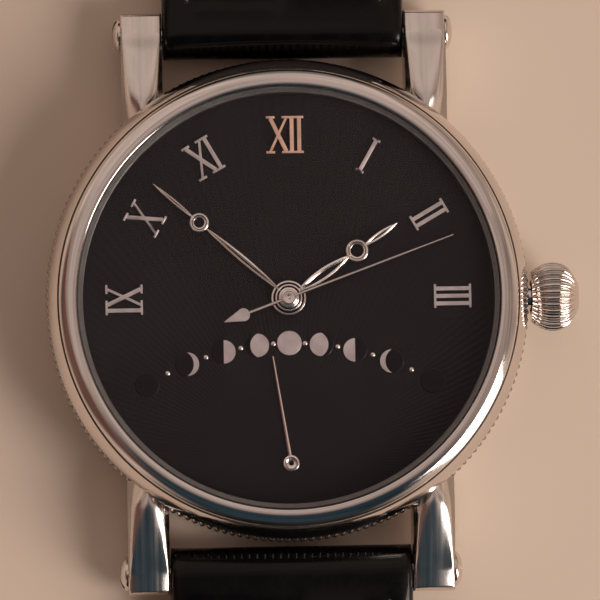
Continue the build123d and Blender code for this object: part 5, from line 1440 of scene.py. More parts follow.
def leaf_hand(reach, ring_at, ring, hole, blades, low, height, hub, shaded_recess):
    """A leaf hand with an open, stepped ring between its blade and its tip."""
    (wide, wide_arms), (narrow, narrow_arms) = blades
    groove = hole + 0.42 * (ring - hole)
    ring_corners = [
        (hole, 0.0, 0),
        (ring, 0.0, 0.02),
        (ring, height * 0.7, 0.05),
        (ring - 0.08, height, 0.04),
        (groove + 0.03, height, 0.03),
        (groove, height * 0.5, 0),
        (groove - 0.03, height * 0.85, 0.02),
        (hole, height * 0.7, 0.02),
    ]
    eye, boss = stepped_ring(ring_corners, low, ring_at), stepped_ring(hub, low)
    # Painted shade: the ring's groove and the hub's recess get the dark second material
    paint(eye, in_ring(groove - 0.035, groove + 0.035, ring_at), 1)
    paint(boss, in_ring(*shaded_recess, low=low + 0.05), 1)
    parts = [
        slit_leaf(0.9, ring_at - hole - 0.05, wide, wide_arms, low, height * 0.72, height),
        slit_leaf(ring_at + hole + 0.05, reach, narrow, narrow_arms, low, height * 0.72, height * 0.95),
        eye,
        boss,
    ]
    return join(parts)


def arbor_under(node_name, level):
    """A merged copy of a CAD node's mesh below a level in millimetres, closed at the cut."""
    work = bmesh.new()
    work.from_mesh(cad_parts[node_name].data)
    bmesh.ops.remove_doubles(work, verts=work.verts, dist=0.001 * MM)
    parts = [*work.verts, *work.edges, *work.faces]
    cut = (0, 0, level * MM)
    bmesh.ops.bisect_plane(work, geom=parts, plane_co=cut, plane_no=(0, 0, 1), clear_outer=True)
    bmesh.ops.holes_fill(work, edges=[edge for edge in work.edges if edge.is_boundary])
    for face in work.faces:
        face.material_index = 0
    mesh = bpy.data.meshes.new(node_name + " arbor")
    work.to_mesh(mesh)
    work.free()
    return mesh


def make_hands(sizes):
    """Hour, minute, seconds and moon hands, at the angles of the photograph."""
    # The dark disc black stands as painted shade in the hands' grooves, recesses and centre holes
    metal, dark = finish("hand_metal"), finish("disc_black_and_groove_shade")
    make_hour_hand(metal, dark)
    make_minute_hand(metal, dark)
    make_seconds_hand(metal, dark)
    make_moon_hand(sizes, metal, dark)


def make_hour_hand(metal, dark):
    """The hour hand, with its hub."""
    hub = [(0.7, 0, 0), (1.45, 0, 0.02), (1.45, 0.17, 0.06)]
    hub += [(1.28, 0.19, 0.04), (1.24, 0.1, 0), (0.7, 0.1, 0)]
    mesh = leaf_hand(
        reach=11.0,
        ring_at=6.92,
        ring=0.94,
        hole=0.54,
        blades=((0.95, (0.32, 0.2)), (0.5, (0.18, 0.16))),
        low=7.9,
        height=0.2,
        hub=hub,
        shaded_recess=(0.7, 1.29),
    )
    mesh = turned(weighted(mesh, 25), HOUR_ANGLE)
    piece("leaf_hour_hand", "hour", "applied_metal", mesh, metal, dark, replaces=["hour_hand"])


def make_minute_hand(metal, dark):
    """The minute hand, with its stepped hub."""
    hub = [
        (0.35, 0, 0),
        (1.13, 0, 0.02),
        (1.13, 0.12, 0.05),
        (1.0, 0.14, 0.03),
        (0.97, 0.08, 0),
        (0.86, 0.08, 0),
        (0.86, 0.2, 0.05),
        (0.7, 0.24, 0.03),
        (0.35, 0.24, 0),
    ]
    mesh = leaf_hand(
        reach=14.7,
        ring_at=9.7,
        ring=0.8,
        hole=0.43,
        blades=((0.56, (0.17, 0.28)), (0.36, (0.15, 0.13))),
        low=8.3,
        height=0.16,
        hub=hub,
        shaded_recess=(0.87, 0.99),
    )
    mesh = turned(weighted(mesh, 25), MINUTE_ANGLE)
    piece("leaf_minute_hand", "minute", "applied_metal", mesh, metal, dark, replaces=["minute_hand"])


def rod(stations, across_shares, levels):
    """A rod along +Y through stations of (y, half width), its section given by shares of that half."""
    sections = []
    for y, half in stations:
        sections.append([(half * share, y, level) for share, level in zip(across_shares, levels)])
    return as_mesh(*tube(sections))


def make_seconds_hand(metal, dark):
    """The seconds hand: a flat-topped rod, a hub with its pin and a pear-shaped counterweight."""
    low, edge, crest = 8.66, 8.73, 8.78
    hub_low, weight_top = 8.65, 8.79
    weight_centre, weight_radius, weight_tip, tip_half = -4.05, 0.54, -5.74, 0.03
    stations = ((-4.4, 0.11), (0.0, 0.115), (6.0, 0.1), (14.64, 0.065))
    needle = rod(stations, (-1, 1, 1, 0.5, -0.5, -1), (low, low, edge, crest, crest, edge))
    pear = [polar((0, weight_centre), weight_radius, angle) for angle in range(-30, 211, 10)]
    pear += [(-tip_half, weight_tip), (tip_half, weight_tip)]
    weight = bevelled(prism(pear, hub_low, weight_top), 0.03, 2, 50)
    boss = [(0.14, 0, 0), (0.68, 0, 0), (0.68, 0.2, 0.07)]
    boss += [(0.52, 0.25, 0.03), (0.49, 0.19, 0), (0.14, 0.19, 0.03)]
    pin = as_mesh(*lathe([(0, 8.6), (0.16, 8.6), (0.16, 8.74), (0.0, 8.76)], 32))
    mesh = join([needle, weight, stepped_ring(boss, hub_low), pin])
    # Painted shade: the centre hole and the boss's groove get the dark second material
    paint(mesh, in_ring(-1, 0.135), 1)
    paint(mesh, in_ring(0.48, 0.53), 1)
    paint(mesh, lambda centre, _: centre.y < -3.4, 2)
    mesh = turned(weighted(mesh, 25), SECONDS_ANGLE)
    materials = (metal, dark, finish("applied_metal"))
    piece("rod_seconds_hand", "seconds", "applied_metal", mesh, *materials, replaces=["seconds_hand"])


def make_moon_hand(sizes, metal, dark):
    """The moon hand: a ridged rod and its hub, on the arbor of the CAD piece."""
    low, edge, crest = 7.62, 7.68, 7.74
    needle = rod(((0.3, 0.13), (9.0, 0.06)), (-1, 1, 1, 0, -1), (low, low, edge, crest, edge))
    boss = [(0.2, 0, 0), (0.675, 0, 0.02), (0.675, 0.12, 0.05)]
    boss += [(0.5, 0.15, 0.03), (0.46, 0.1, 0), (0.2, 0.1, 0.02)]
    pin = as_mesh(*lathe([(0, 7.4), (0.22, 7.4), (0.22, 7.65), (0, 7.66)], 32))
    mesh = join([needle, stepped_ring(boss, low), pin])
    # Painted shade: the centre and the boss's groove get the dark second material
    paint(mesh, in_ring(-1, 0.19), 1)
    paint(mesh, in_ring(0.44, 0.51), 1)
    mesh = turned(mesh, MOON_ANGLE, (0, -sizes.moon_pivot))
    mesh = weighted(join([mesh, arbor_under("moon_hand", 7.55)]), 25)
    piece("rod_moon_hand", "moon", "applied_metal", mesh, metal, dark, replaces=["moon_hand"])


# Strap


# Radii of the leather round the strap bar and round the buckle's pin
BAR_LOOP, PIN_LOOP = 2.1, 1.3
# Length of the long half's round tip, and of each half's straight run before its taper
TIP_LENGTH, STRAIGHT_RUN = 9.0, 8
# Points across the hide and across the lining
HIDE_COLUMNS, LINING_COLUMNS = 60, 14
# Height of a stitch over the hide, and the middle of the buckle's pin
STITCH_LIFT = 0.1
PIN_PLACE = (0, 97.65, 2.1)


def hide_relief(x, s, half, seam, seed):
    """Height of the hide's scales and seam at x across and s along a half, in millimetres."""
    scale_pitches, scale_shifts = (4.1, 6.9, 6.4, 4.4), (1.7, 4.4, 0.9, 3.4)
    scale_height, scale_edge, line_depth, row_depth = 0.15, 2.0, 0.1, 0.09
    seam_depth, seam_width, wrinkle_height = 0.14, 0.42, 0.007
    wobble = [0.6 * noise.noise(Vector((0.11 * s, 7.3 * k + seed, 0.4))) for k in range(3)]
    lines = [-6.2 + wobble[0], -0.45 + 0.5 * wobble[1], 6.0 + wobble[2]]
    column = sum(x > line for line in lines)
    pitch = scale_pitches[column]
    shift = scale_shifts[column] + seed
    bow = 0.5 * noise.noise(Vector((0.35 * x, 0.2 * s + seed, 3.1)))
    row = (s + shift + bow) / pitch
    side_fade = 2.0 * (1 - smooth_step((s - 8) / 8))
    across = min(abs(x - line) + fade for line, fade in zip(lines, (side_fade, 0.0, side_fade)))
    along = abs(row - round(row)) * pitch
    corner = sqrt(max(0.0, scale_edge - across) ** 2 + max(0.0, scale_edge - along) ** 2)
    pillow = 1 - smooth_step(corner / 2.2)
    crease = line_depth * bell(across, 0.26) + row_depth * bell(along, 0.28)
    edge = smooth_step((half - abs(x) - seam + 0.4) / 1.4)
    height = (scale_height * pillow - crease) * edge
    groove = abs(abs(x) - (half - seam))
    height -= seam_depth * bell(groove, seam_width) * smooth_step((s - 1.5) / 1.5)
    wrinkle = noise.noise(Vector((1.1 * x, 0.9 * s + seed, 8.0)))
    wrinkle += 0.4 * noise.noise(Vector((2.6 * x, 2.2 * s, 2.0)))
    return height + wrinkle_height * wrinkle


def bell(distance, width):
    """A bell curve: 1 at distance 0, falling off over a width."""
    return 2.718 ** (-((distance / width) ** 2))


def strap_half(sizes, case, length, lift, short, seed):
    """A padded half from its bar towards +Y, with its hide, edges and lining, in metres."""
    bar, height = case.bar_reach, case.bar_height
    side_bulge, station_step = 0.16, 0.42
    thick_at_lugs, thick_midway, thick_at_end = 4.5, 3.1, 2.4
    wide, narrow = sizes.width / 2 + side_bulge, sizes.end_width / 2
    end = bar + length + (PIN_LOOP if short else 0.0)
    last = end - (PIN_LOOP if short else TIP_LENGTH)
    count = int((last - bar) / station_step)
    stations = [bar - BAR_LOOP * cos(radians(turn)) for turn in range(4, 90, 8)]
    stations += [bar + (last - bar) * step / count for step in range(count + 1)]
    stations += [last + (end - last) * sin(radians(turn)) for turn in range(6, 91, 12 if short else 4)]
    tops = [(bar, height + BAR_LOOP), (bar + STRAIGHT_RUN, lift + thick_at_lugs)]
    tops += [(bar + 24, lift + thick_midway), (bar + 39, lift + thick_at_end), (end + 1, lift + thick_at_end)]

    def outline(y):
        """Half width, lowest level and crest at a place along the half."""
        half = wide
        if y > bar + STRAIGHT_RUN:
            share = (y - bar - STRAIGHT_RUN) / (sizes.taper - STRAIGHT_RUN)
            half = wide - (wide - narrow) * smooth_step(share)
        if y < bar:
            drop = sqrt(max(0.0, BAR_LOOP**2 - (bar - y) ** 2))
            return half - 0.12 * (1 - drop / BAR_LOOP), height - drop, height + drop
        low = lift + (height - BAR_LOOP - lift) * (1 - smooth_step((y - bar) / 5.5))
        crest = through(tops, y)
        if y > last and short:
            drop = sqrt(max(0.0, PIN_LOOP**2 - (y - last) ** 2))
            return half, sizes.pin_height - drop, sizes.pin_height + drop
        if y > last:
            round_off = sqrt(max(0.0004, 1 - ((y - last) / TIP_LENGTH) ** 2))
            return half * round_off, low, low + (crest - low) * (0.45 + 0.55 * round_off)
        return half, low, crest

    def section(y):
        """Points round the half: hide, painted edge, lining, painted edge."""
        half, low, crest = outline(y)
        thick = crest - low
        boxy = 1 - smooth_step((y - bar - 1.0) / 9.0)
        rim = low + thick * (0.45 + 0.45 * boxy)
        rim = min(rim, crest - 0.3 * min(1.0, thick))
        start = smooth_step((y - bar - 1.2) / 3.2)
        fade = smooth_step((y - bar + 2.0) / 2.2) * smooth_step((end - y) / 1.5) * min(1.0, thick / 1.6)
        row = []
        for column in range(HIDE_COLUMNS + 1):
            u = sin(pi * (column / HIDE_COLUMNS - 0.5) * 0.62) / sin(pi * 0.31)
            x = half * u
            shoulder = (1 - abs(u) ** (2.8 + 13 * boxy)) ** 0.6
            z = rim + (crest - rim) * shoulder
            relief = hide_relief(x, y - bar, half, sizes.stitch_inset, seed) * start
            row.append((x * (1 - 0.012 * (abs(u) > 0.999)), y, z + relief * fade))
        upper, lower = rim - 0.18 * (rim - low), low + 0.22 * (rim - low)
        row += [(half, y, upper), (half * 0.996, y, lower)]
        for column in range(LINING_COLUMNS + 1):
            row.append((half * (1 - 2 * column / LINING_COLUMNS) * 0.975, y, low))
        row += [(-half * 0.996, y, lower), (-half, y, upper)]
        return row

    rows = [section(y) for y in stations]
    mesh = as_mesh(*tube(rows))
    total, hide_end, lining_end = len(rows[0]), HIDE_COLUMNS, len(rows[0]) - 3
    for index, face in enumerate(mesh.polygons):
        column = index % total
        if hide_end <= column < hide_end + 3 or column >= lining_end:
            face.material_index = 1
        elif hide_end + 3 <= column < lining_end:
            face.material_index = 2
    for name in ("black_leather", "edge_paint", "lining_leather"):
        mesh.materials.append(finish(name))
    cutters = strap_cutters(sizes, end, short)
    for cutter in cutters:
        cutter.materials.append(finish("edge_paint"))
    return boolean(mesh, cutters, "DIFFERENCE")


def strap_cutters(sizes, end, short):
    """The tongue's slot in the short half, or the holes in the long one."""
    low, high = -1, 8
    if short:
        half, start, past = 1.3, 94.65, 101
        slot = [(-half, start, 0.5), (half, start, 0.5), (half, past, 0), (-half, past, 0)]
        return [prism(rounded(slot), low, high)]
    spots = [(0, end - sizes.hole_margin - index * sizes.hole_pitch) for index in range(sizes.hole_count)]
    return [prism(circle(sizes.hole_radius, 32, spot), low, high) for spot in spots]


def stitch_shape(length, radius):
    """One stitch: a thread that dips into the hide at both ends, along +Y."""
    turns = [radians(45 * step) for step in range(8)]
    sections = []
    for step in range(9):
        share = step / 8
        y = -length / 2 + length * share
        lift = -radius * 1.1 * (2 * share - 1) ** 4
        thick = radius * (0.72 + 0.28 * (1 - (2 * share - 1) ** 4))
        sections.append([(thick * cos(turn), y, lift + 0.8 * thick * sin(turn)) for turn in turns])
    return as_mesh(*tube(sections))


def seam(mesh, sizes, start, end, sign, path_half, lowest):
    """Places of the stitches along both edges of a half, on its surface."""
    from_above = mesh_probe(mesh)
    reach = 0.8
    places = []
    count = int((end - start) / sizes.stitch_pitch)
    for side in (-1, 1):
        for index in range(count):
            y = start + (index + 0.5) * (end - start) / count
            x = side * (path_half(y) - sizes.stitch_inset)
            ahead = side * (path_half(y + 1) - sizes.stitch_inset)
            here, before, after = (from_above(x, sign * (y + step)) for step in (0.0, -reach, reach))
            if here is None or before is None or after is None:
                continue
            tilt = atan2(after - before, 2 * reach)
            turn = atan2(x - ahead, 1.0)
            z = max(here, lowest) + STITCH_LIFT
            places.append(((x, sign * y, z), (sign * tilt, 0.0, sign * turn)))
    return places


def mesh_probe(mesh):
    """A function that gives a mesh's height in millimetres over a point in plan."""
    work = bmesh.new()
    work.from_mesh(mesh)
    tree = BVHTree.FromBMesh(work)
    work.free()

    def height(x, y):
        hit = tree.ray_cast(Vector((x * MM, y * MM, 0.05)), Vector((0, 0, -1)))
        return hit[0].z / MM if hit[0] else None

    return height


def make_strap(scene):
    """Both halves with their seams."""
    sizes, case = in_millimetres(scene.watch_strap), in_millimetres(scene.watch_case)
    drop = (sizes.width - sizes.end_width) / 2
    taper_start = case.bar_reach + STRAIGHT_RUN

    def half_at(y):
        return sizes.width / 2 - drop * smooth_step((y - taper_start) / (sizes.taper - STRAIGHT_RUN))

    short = strap_half(sizes, case, sizes.short_length, 0.8, True, 0.0)
    long = strap_half(sizes, case, sizes.long_length, 0.0, False, 2.9)
    long.transform(Matrix.Diagonal((-1, -1, 1, 1)))
    leathers = [finish("black_leather"), finish("edge_paint"), finish("lining_leather")]
    black = finish("black_thread")
    for name, body, mesh, sign, start, end, node_name in (
        ("padded_strap_upper", "strap_upper", short, 1, 24.6, 93.6, "strap_short"),
        ("padded_strap_lower", "strap_lower", long, -1, 24.6, 127.2, "strap_long"),
    ):
        mesh = weighted(mesh, 50)
        places = seam(mesh, sizes, start, end, sign, half_at, 0.5)
        stitch = stitch_shape(sizes.stitch_length, 0.23)
        if sign < 0:
            places += tip_seam(mesh, sizes, case)
        stitches = baked(point_repeat(), points_mesh(places), stitch, {"Material": black})
        made = piece(name, body, "black_leather", mesh, *leathers, replaces=[node_name])
        piece(name + "_seam", body, "black_leather", weighted(stitches, 60), black)


def tip_seam(mesh, sizes, case):
    """Places of the stitches round the long half's tip."""
    from_above = mesh_probe(mesh)
    places = []
    centre = -(case.bar_reach + sizes.long_length - TIP_LENGTH)
    radius = TIP_LENGTH - sizes.stitch_inset
    count = int(pi * radius / sizes.stitch_pitch)
    for index in range(count):
        angle = -180 + (index + 0.5) * 180 / count
        x, y = polar((0, centre), radius, angle)
        z = from_above(x, y)
        if z is not None:
            places.append(((x, y, z + STITCH_LIFT), (0.0, 0.0, radians(angle))))
    return places


def make_keepers():
    """Two leather loops round the short half."""
    half_length, row_reach = 2.5, 1.75
    stitch_count, stitch_pitch, first_stitch = 8, 2.4, -8.4
    side = [(-0.9, 0.0), (-1.0, 0.25), (-1.0, 0.7), (-0.93, 0.93), (-0.8, 0.96), (-0.6, 1.0), (-0.25, 1.03)]
    section = side + [(-along, share) for along, share in reversed(side)]
    leathers, black = (finish("black_leather"), finish("edge_paint")), finish("black_thread")
    for name, body, reach, node_name in (
        ("sewn_keeper", "strap_upper", 89.65, "fixed_keeper"),
        ("sliding_keeper", "keeper", 76.15, "free_keeper"),
    ):
        outer = keeper_path(half=10.5, low=0.0, high=6.4, radius=1.3)
        inner = keeper_path(half=9.3, low=0.7, high=5.7, radius=0.5)
        sections = []
        for (xo, zo), (xi, zi) in zip(outer, inner):
            sections.append(
                [(xi + (xo - xi) * b, reach + half_length * a, zi + (zo - zi) * b) for a, b in section]
            )
        points, faces = tube(sections, closed=True)
        mesh = weighted(as_mesh(points, faces), 60)
        paint(mesh, lambda _, normal: abs(normal.y) > 0.8, 1)
        from_above = mesh_probe(mesh)
        places = []
        for row in (-row_reach, row_reach):
            for index in range(stitch_count):
                x = first_stitch + stitch_pitch * index
                z = from_above(x, reach + row)
                places.append(((x, reach + row, z), (0.0, 0.0, radians(90))))
        thread = stitch_shape(length=1.7, radius=0.16)
        stitches = baked(point_repeat(), points_mesh(places), thread, {"Material": black})
        piece(name, body, "black_leather", mesh, *leathers, replaces=[node_name])
        piece(name + "_seam", body, "black_leather", weighted(stitches, 60), black)


def keeper_path(half, low, high, radius):
    """A rounded rectangle in (x, z) with points along its straight runs."""
    corners = [(-half, low, radius), (half, low, radius), (half, high, radius), (-half, high, radius)]
    outline = rounded(corners, 6)
    path = []
    for index, point in enumerate(outline):
        after = outline[(index + 1) % len(outline)]
        runs = 10 if index % 7 == 6 else 1
        for step in range(runs):
            share = step / runs
            path.append((point[0] + (after[0] - point[0]) * share, point[1] + (after[1] - point[1]) * share))
    return path


def make_buckle():
    """The pin buckle: frame, pin and tongue."""
    steel = finish("polished_steel")
    make_buckle_frame(steel)
    make_buckle_pin(steel)
    make_tongue(steel)


def buckle_path():
    """The frame's path from foot to foot: (place, way inwards, half width, top) at each station."""
    arm, bar, arm_top, bar_top = 0.85, 0.95, 3.23, 2.53
    foot, corner_at, corner, middle = 96.5, 105.35, 0.95, 10.25
    path = []
    for step in range(13):
        path.append(((-middle, foot + (corner_at - foot) * step / 12), (1, 0), arm, arm_top))
    for step in range(1, 9):
        angle, share = 180 - 90 * step / 8, step / 8
        place = polar((corner - middle, corner_at), corner, angle)
        inwards = (-cos(radians(angle)), -sin(radians(angle)))
        top = arm_top + (bar_top - arm_top) * smooth_step(share)
        path.append((place, inwards, arm + (bar - arm) * share, top))
    for step in range(1, 20):
        x = corner - middle + 2 * (middle - corner) * step / 20
        path.append(((x, corner_at + corner), (0, -1), bar, bar_top))
    return path + [((-x, y), (-u, v), half, top) for (x, y), (u, v), half, top in reversed(path[:21])]


def make_buckle_frame(steel):
    """The frame: two arms and a bar with a rounded section."""
    low, rounding = 1.03, 0.42
    path = buckle_path()
    sections = []
    for index, ((x, y), (u, v), half, top) in enumerate(path):
        middle, shrink = (low + top) / 2, 0.72 if index in (0, len(path) - 1) else 1.0
        corners = [(-half, low), (half, low), (half, top), (-half, top)]
        outline = rounded([(*corner, rounding) for corner in corners], 5)
        sections.append(
            [(x + u * a * shrink, y + v * a * shrink, middle + (z - middle) * shrink) for a, z in outline]
        )
    for end in (0, -1):
        sections[end] = [(x, y - 0.05, z) for x, y, z in sections[end]]
    mesh = weighted(as_mesh(*tube(sections)), 50)
    piece("rounded_buckle", "buckle", "polished_steel", mesh, steel, replaces=["buckle_frame"])


def make_buckle_pin(steel):
    """The pin that the frame and the tongue turn on."""
    radius, half = 0.6, 11.12
    outline = rounded([(0, -half, 0), (radius, -half, 0.15), (radius, half, 0.15), (0, half, 0)], 3)
    pin = lying(as_mesh(*lathe(outline, 40)), PIN_PLACE)
    piece("buckle_bar", "buckle", "polished_steel", weighted(pin, 40), steel, replaces=["buckle_pin"])


def make_tongue(steel):
    """The tongue: a domed blade with a round tip, and its loop round the pin."""
    low, thick, start = 2.56, 0.75, PIN_PLACE[1]
    length, root_half, narrowing, tip_start, tip_length = 10.2, 1.0, 0.22, 107.1, 0.76
    sections = []
    rows = [start + 0.2 * step for step in range(50)] + [107.5, 107.68, 107.79, 107.85]
    for y in rows:
        along = (y - start) / length
        half = root_half - narrowing * smooth_step(along * 1.3)
        tip = sqrt(max(0.0, 1 - max(0.0, (y - tip_start) / tip_length) ** 2))
        half = max(0.12, half * (0.35 + 0.65 * tip))
        dome = thick * (0.55 + 0.45 * tip)
        edge = min(0.24, half * 0.6)
        outline = rounded([(-half, 0, edge), (half, 0, edge), (half, dome, edge), (-half, dome, edge)], 4)
        sections.append([(u, y, low + v) for u, v in outline])
    blade = as_mesh(*tube(sections))
    radius, half = 1.1, 1.0
    profile = [(0.0, -half, 0), (radius, -half, 0.22), (radius, half, 0.22), (0.0, half, 0)]
    loop = lying(as_mesh(*lathe(rounded(profile, 4), 48)), PIN_PLACE)
    mesh = weighted(join([blade, loop]), 50)
    piece("rounded_tongue", "tongue", "polished_steel", mesh, steel, replaces=["buckle_tongue"])


def dress_movement():
    """Finishes on the CAD nodes that stay, by the record's slots."""
    slot_looks = ("polished_steel", "plain_steel", "spring_steel", "sapphire", "seal_rubber", "plated_plate")
    slot_looks += ("wheel_brass", "ruby", "applied_metal", "black_leather")
    own_looks = {"rotor": "rotor_metal", "bridge_screws": "blued_screw", "case_back_screws": "polished_steel"}
    for name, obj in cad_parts.items():
        for slot in obj.material_slots:
            if not slot.material:
                continue
            label = slot.material.name.split(".")[0]
            look = own_looks.get(name, label if label in slot_looks else None)
            if look:
                slot.material = finish(look)
            elif not obj.hide_render:
                print("no look for", name, label)


# Stage


def soft_light(name, place, width, height, power, colour):
    """An area light that looks at the centre."""
    light = bpy.data.lights.new(name, "AREA")
    light.shape = "RECTANGLE"
    light.size, light.size_y = width, height
    light.energy = power
    light.color = colour
    holder = bpy.data.objects.new(name, light)
    holder.location = place
    holder.rotation_euler = (-Vector(place)).to_track_quat("-Z", "Y").to_euler()
    bpy.context.scene.collection.objects.link(holder)


def dark_side(tree, direction, colour, toward, inner, outer, shadow):
    """The surroundings' colour with a soft dark patch, full within one angle and gone past another."""
    near = node(tree, "ShaderNodeVectorMath", operation="DOT_PRODUCT")
    link(tree, direction, near.inputs[0])
    near.inputs[1].default_value = Vector(toward).normalized()
    fade = node(tree, "ShaderNodeMapRange", clamp=True, interpolation_type="SMOOTHSTEP")
    set_inputs(fade, From_Min=cos(radians(outer)), From_Max=cos(radians(inner)))
    link(tree, near.outputs["Value"], fade.inputs["Value"])
    mix = node(tree, "ShaderNodeMix", data_type="RGBA")
    clear, dark, mixed = (
        [socket for socket in sockets if socket.type == "RGBA" and socket.name == name][0]
        for sockets, name in ((mix.inputs, "A"), (mix.inputs, "B"), (mix.outputs, "Result"))
    )
    link(tree, fade.outputs[0], mix.inputs[0])
    link(tree, colour, clear)
    dark.default_value = shadow
    return mixed


def make_world(scene):
    """Warm surroundings with soft dark patches, and the floor's own colour behind it for the camera."""
    world = bpy.data.worlds.new("studio")
    scene.world = world
    world.use_nodes = True
    tree = world.node_tree
    back = tree.nodes["Background"]
    place = tree.nodes.new("ShaderNodeTexCoord")
    ramp = tree.nodes.new("ShaderNodeValToRGB")
    parts = tree.nodes.new("ShaderNodeSeparateXYZ")
    link(tree, place.outputs["Generated"], parts.inputs[0])
    link(tree, parts.outputs["Z"], ramp.inputs[0])
    stops = ramp.color_ramp.elements
    stops[0].position, stops[0].color = 0.0, (0.43, 0.315, 0.235, 1)
    stops[1].position, stops[1].color = 1.0, (0.33, 0.25, 0.222, 1)
    middle = stops.new(0.4)
    middle.color = (0.44, 0.335, 0.275, 1)
    clutter = node(tree, "ShaderNodeTexNoise", Scale=2.2, Detail=2.0, Distortion=0.8)
    link(tree, place.outputs["Generated"], clutter.inputs["Vector"])
    spread = node(tree, "ShaderNodeMapRange", clamp=True)
    set_inputs(spread, From_Min=0.35, From_Max=0.65, To_Min=0.6, To_Max=1.4)
    link(tree, clutter.outputs[0], spread.inputs["Value"])
    colour = ramp.outputs[0]
    bluish, neutral, warm = (0.02, 0.035, 0.045, 1), (0.02, 0.018, 0.017, 1), (0.13, 0.065, 0.05, 1)
    for toward, inner, outer, shadow in (
        ((0.0, -0.6, 0.8), 24, 38, bluish),
        ((0.0, -1.0, 0.05), 24, 42, neutral),
        ((0.0, 1.0, 0.05), 22, 38, neutral),
        ((-0.75, -0.12, 0.65), 16, 36, warm),
    ):
        colour = dark_side(tree, place.outputs["Generated"], colour, toward, inner, outer, shadow)
    link(tree, colour, back.inputs["Color"])
    link(tree, spread.outputs[0], back.inputs["Strength"])
    plain_back = node(tree, "ShaderNodeBackground", Color=(*scene.watch_finishes.floor, 1), Strength=1.0)
    path = tree.nodes.new("ShaderNodeLightPath")
    mix = tree.nodes.new("ShaderNodeMixShader")
    link(tree, path.outputs["Is Camera Ray"], mix.inputs[0])
    link(tree, back.outputs[0], mix.inputs[1])
    link(tree, plain_back.outputs[0], mix.inputs[2])
    link(tree, mix.outputs[0], tree.nodes["World Output"].inputs["Surface"])


def make_floor(scene):
    """A wide floor just below the watch."""
    half, gap = 900, 0.2
    corners = [(-half, -half, 0), (half, -half, 0), (half, half, 0), (-half, half, 0)]
    floor = as_mesh(corners, [(0, 1, 2, 3)])
    floor.materials.append(finish("floor"))
    ground = bpy.data.objects.new("studio_floor", floor)
    ground.location.z = -gap * MM
    scene.collection.objects.link(ground)


def make_camera(scene):
    """The camera, looking down from slightly left and below, as in the photograph."""
    view = bpy.data.cameras.new("camera")
    view.lens = 282.8
    view.sensor_width = 36
    view.clip_start = 0.01
    holder = bpy.data.objects.new("camera", view)
    target, distance, roll = Vector((0.000914, -0.000224, 0.0088)), 0.3912, radians(0.88)
    back = Vector((-0.014, -0.024, 0.3912)).normalized()
    side = Vector((cos(roll), -sin(roll), 0.0))
    right = (side - back * side.dot(back)).normalized()
    turn = Matrix((right, back.cross(right), back)).transposed()
    holder.location = target + back * distance
    holder.rotation_euler = turn.to_euler()
    scene.collection.objects.link(holder)
    scene.camera = holder


def make_stage(scene):
    """The surroundings, a plain pale floor, soft studio light and the camera over the dial."""
    make_world(scene)
    make_floor(scene)
    soft_light("key", (-0.2, 0.5, 0.75), 1.4, 1.2, 0.8, (1, 0.93, 0.87))
    soft_light("window", (0.67, -0.38, 0.44), 0.36, 0.8, 6.9, (1, 0.91, 0.85))
    make_camera(scene)
    scene.view_settings.view_transform = "Standard"


# Operators and panel


class WATCH_OT_case(bpy.types.Operator):
    """Make the band, bezel, crystal, lugs, screws and case back"""

    bl_idname = "watch.case"
    bl_label = "Case"

    def execute(self, context):
        make_case(context.scene)
        return {"FINISHED"}


class WATCH_OT_crown(bpy.types.Operator):
    """Make the fluted crown"""

    bl_idname = "watch.crown"
    bl_label = "Crown"

    def execute(self, context):
        make_crown(context.scene)
        return {"FINISHED"}


class WATCH_OT_dial(bpy.types.Operator):
    """Make the rayed dial, numerals, moons and pips"""

    bl_idname = "watch.dial"
    bl_label = "Dial"

    def execute(self, context):
        sizes = in_millimetres(context.scene.watch_dial)
        make_dial(sizes)
        make_numerals(sizes)
        make_moons(sizes)
        return {"FINISHED"}


class WATCH_OT_hands(bpy.types.Operator):
    """Make the four hands"""

    bl_idname = "watch.hands"
    bl_label = "Hands"

    def execute(self, context):
        make_hands(in_millimetres(context.scene.watch_dial))
        return {"FINISHED"}


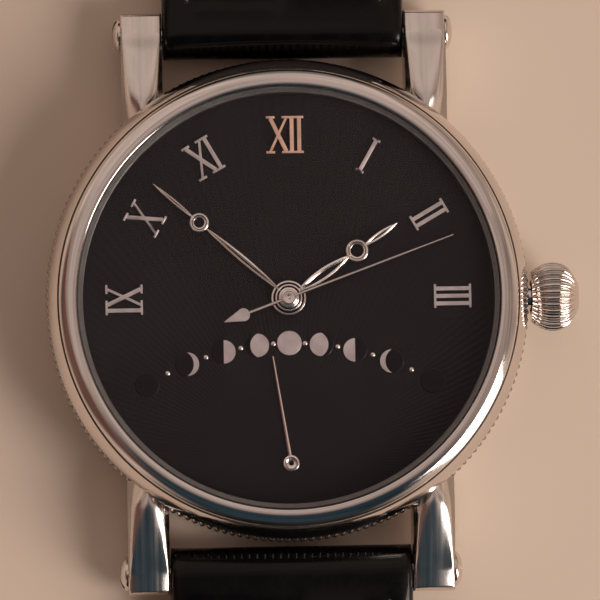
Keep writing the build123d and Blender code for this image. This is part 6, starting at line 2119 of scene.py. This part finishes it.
class WATCH_OT_strap(bpy.types.Operator):
    """Make the strap halves, seams and keepers"""

    bl_idname = "watch.strap"
    bl_label = "Strap"

    def execute(self, context):
        make_strap(context.scene)
        make_keepers()
        return {"FINISHED"}


class WATCH_OT_buckle(bpy.types.Operator):
    """Make the buckle frame, pin and tongue"""

    bl_idname = "watch.buckle"
    bl_label = "Buckle"

    def execute(self, context):
        make_buckle()
        return {"FINISHED"}


class WATCH_OT_movement(bpy.types.Operator):
    """Finish the movement and the other CAD pieces that stay"""

    bl_idname = "watch.movement"
    bl_label = "Movement"

    def execute(self, context):
        dress_movement()
        return {"FINISHED"}


class WATCH_OT_stage(bpy.types.Operator):
    """Make the floor, lights and camera"""

    bl_idname = "watch.stage"
    bl_label = "Stage"

    def execute(self, context):
        make_stage(context.scene)
        return {"FINISHED"}


STEPS = (
    WATCH_OT_case,
    WATCH_OT_crown,
    WATCH_OT_dial,
    WATCH_OT_hands,
    WATCH_OT_strap,
    WATCH_OT_buckle,
    WATCH_OT_movement,
    WATCH_OT_stage,
)
SIZES = {
    "watch_case": CaseSizes,
    "watch_dial": DialSizes,
    "watch_strap": StrapSizes,
    "watch_finishes": Finishes,
}


class WATCH_PT_panel(bpy.types.Panel):
    """The watch's steps and sizes"""

    bl_idname = "WATCH_PT_panel"
    bl_label = "Watch"
    bl_space_type = "VIEW_3D"
    bl_region_type = "UI"
    bl_category = "Watch"

    def draw(self, context):
        for step in STEPS:
            self.layout.operator(step.bl_idname)
        for name, group in SIZES.items():
            box = self.layout.box()
            for label in group.__annotations__:
                box.prop(getattr(context.scene, name), label)


def register():
    for group in (*SIZES.values(), *STEPS, WATCH_PT_panel):
        bpy.utils.register_class(group)
    for name, group in SIZES.items():
        setattr(bpy.types.Scene, name, PointerProperty(type=group))


def unregister():
    for name in SIZES:
        delattr(bpy.types.Scene, name)
    for group in (WATCH_PT_panel, *reversed(STEPS), *reversed(tuple(SIZES.values()))):
        bpy.utils.unregister_class(group)


def main():
    register()
    for step in STEPS:
        area, name = step.bl_idname.split(".")
        getattr(getattr(bpy.ops, area), name)()


if __name__ == "__main__":
    main()
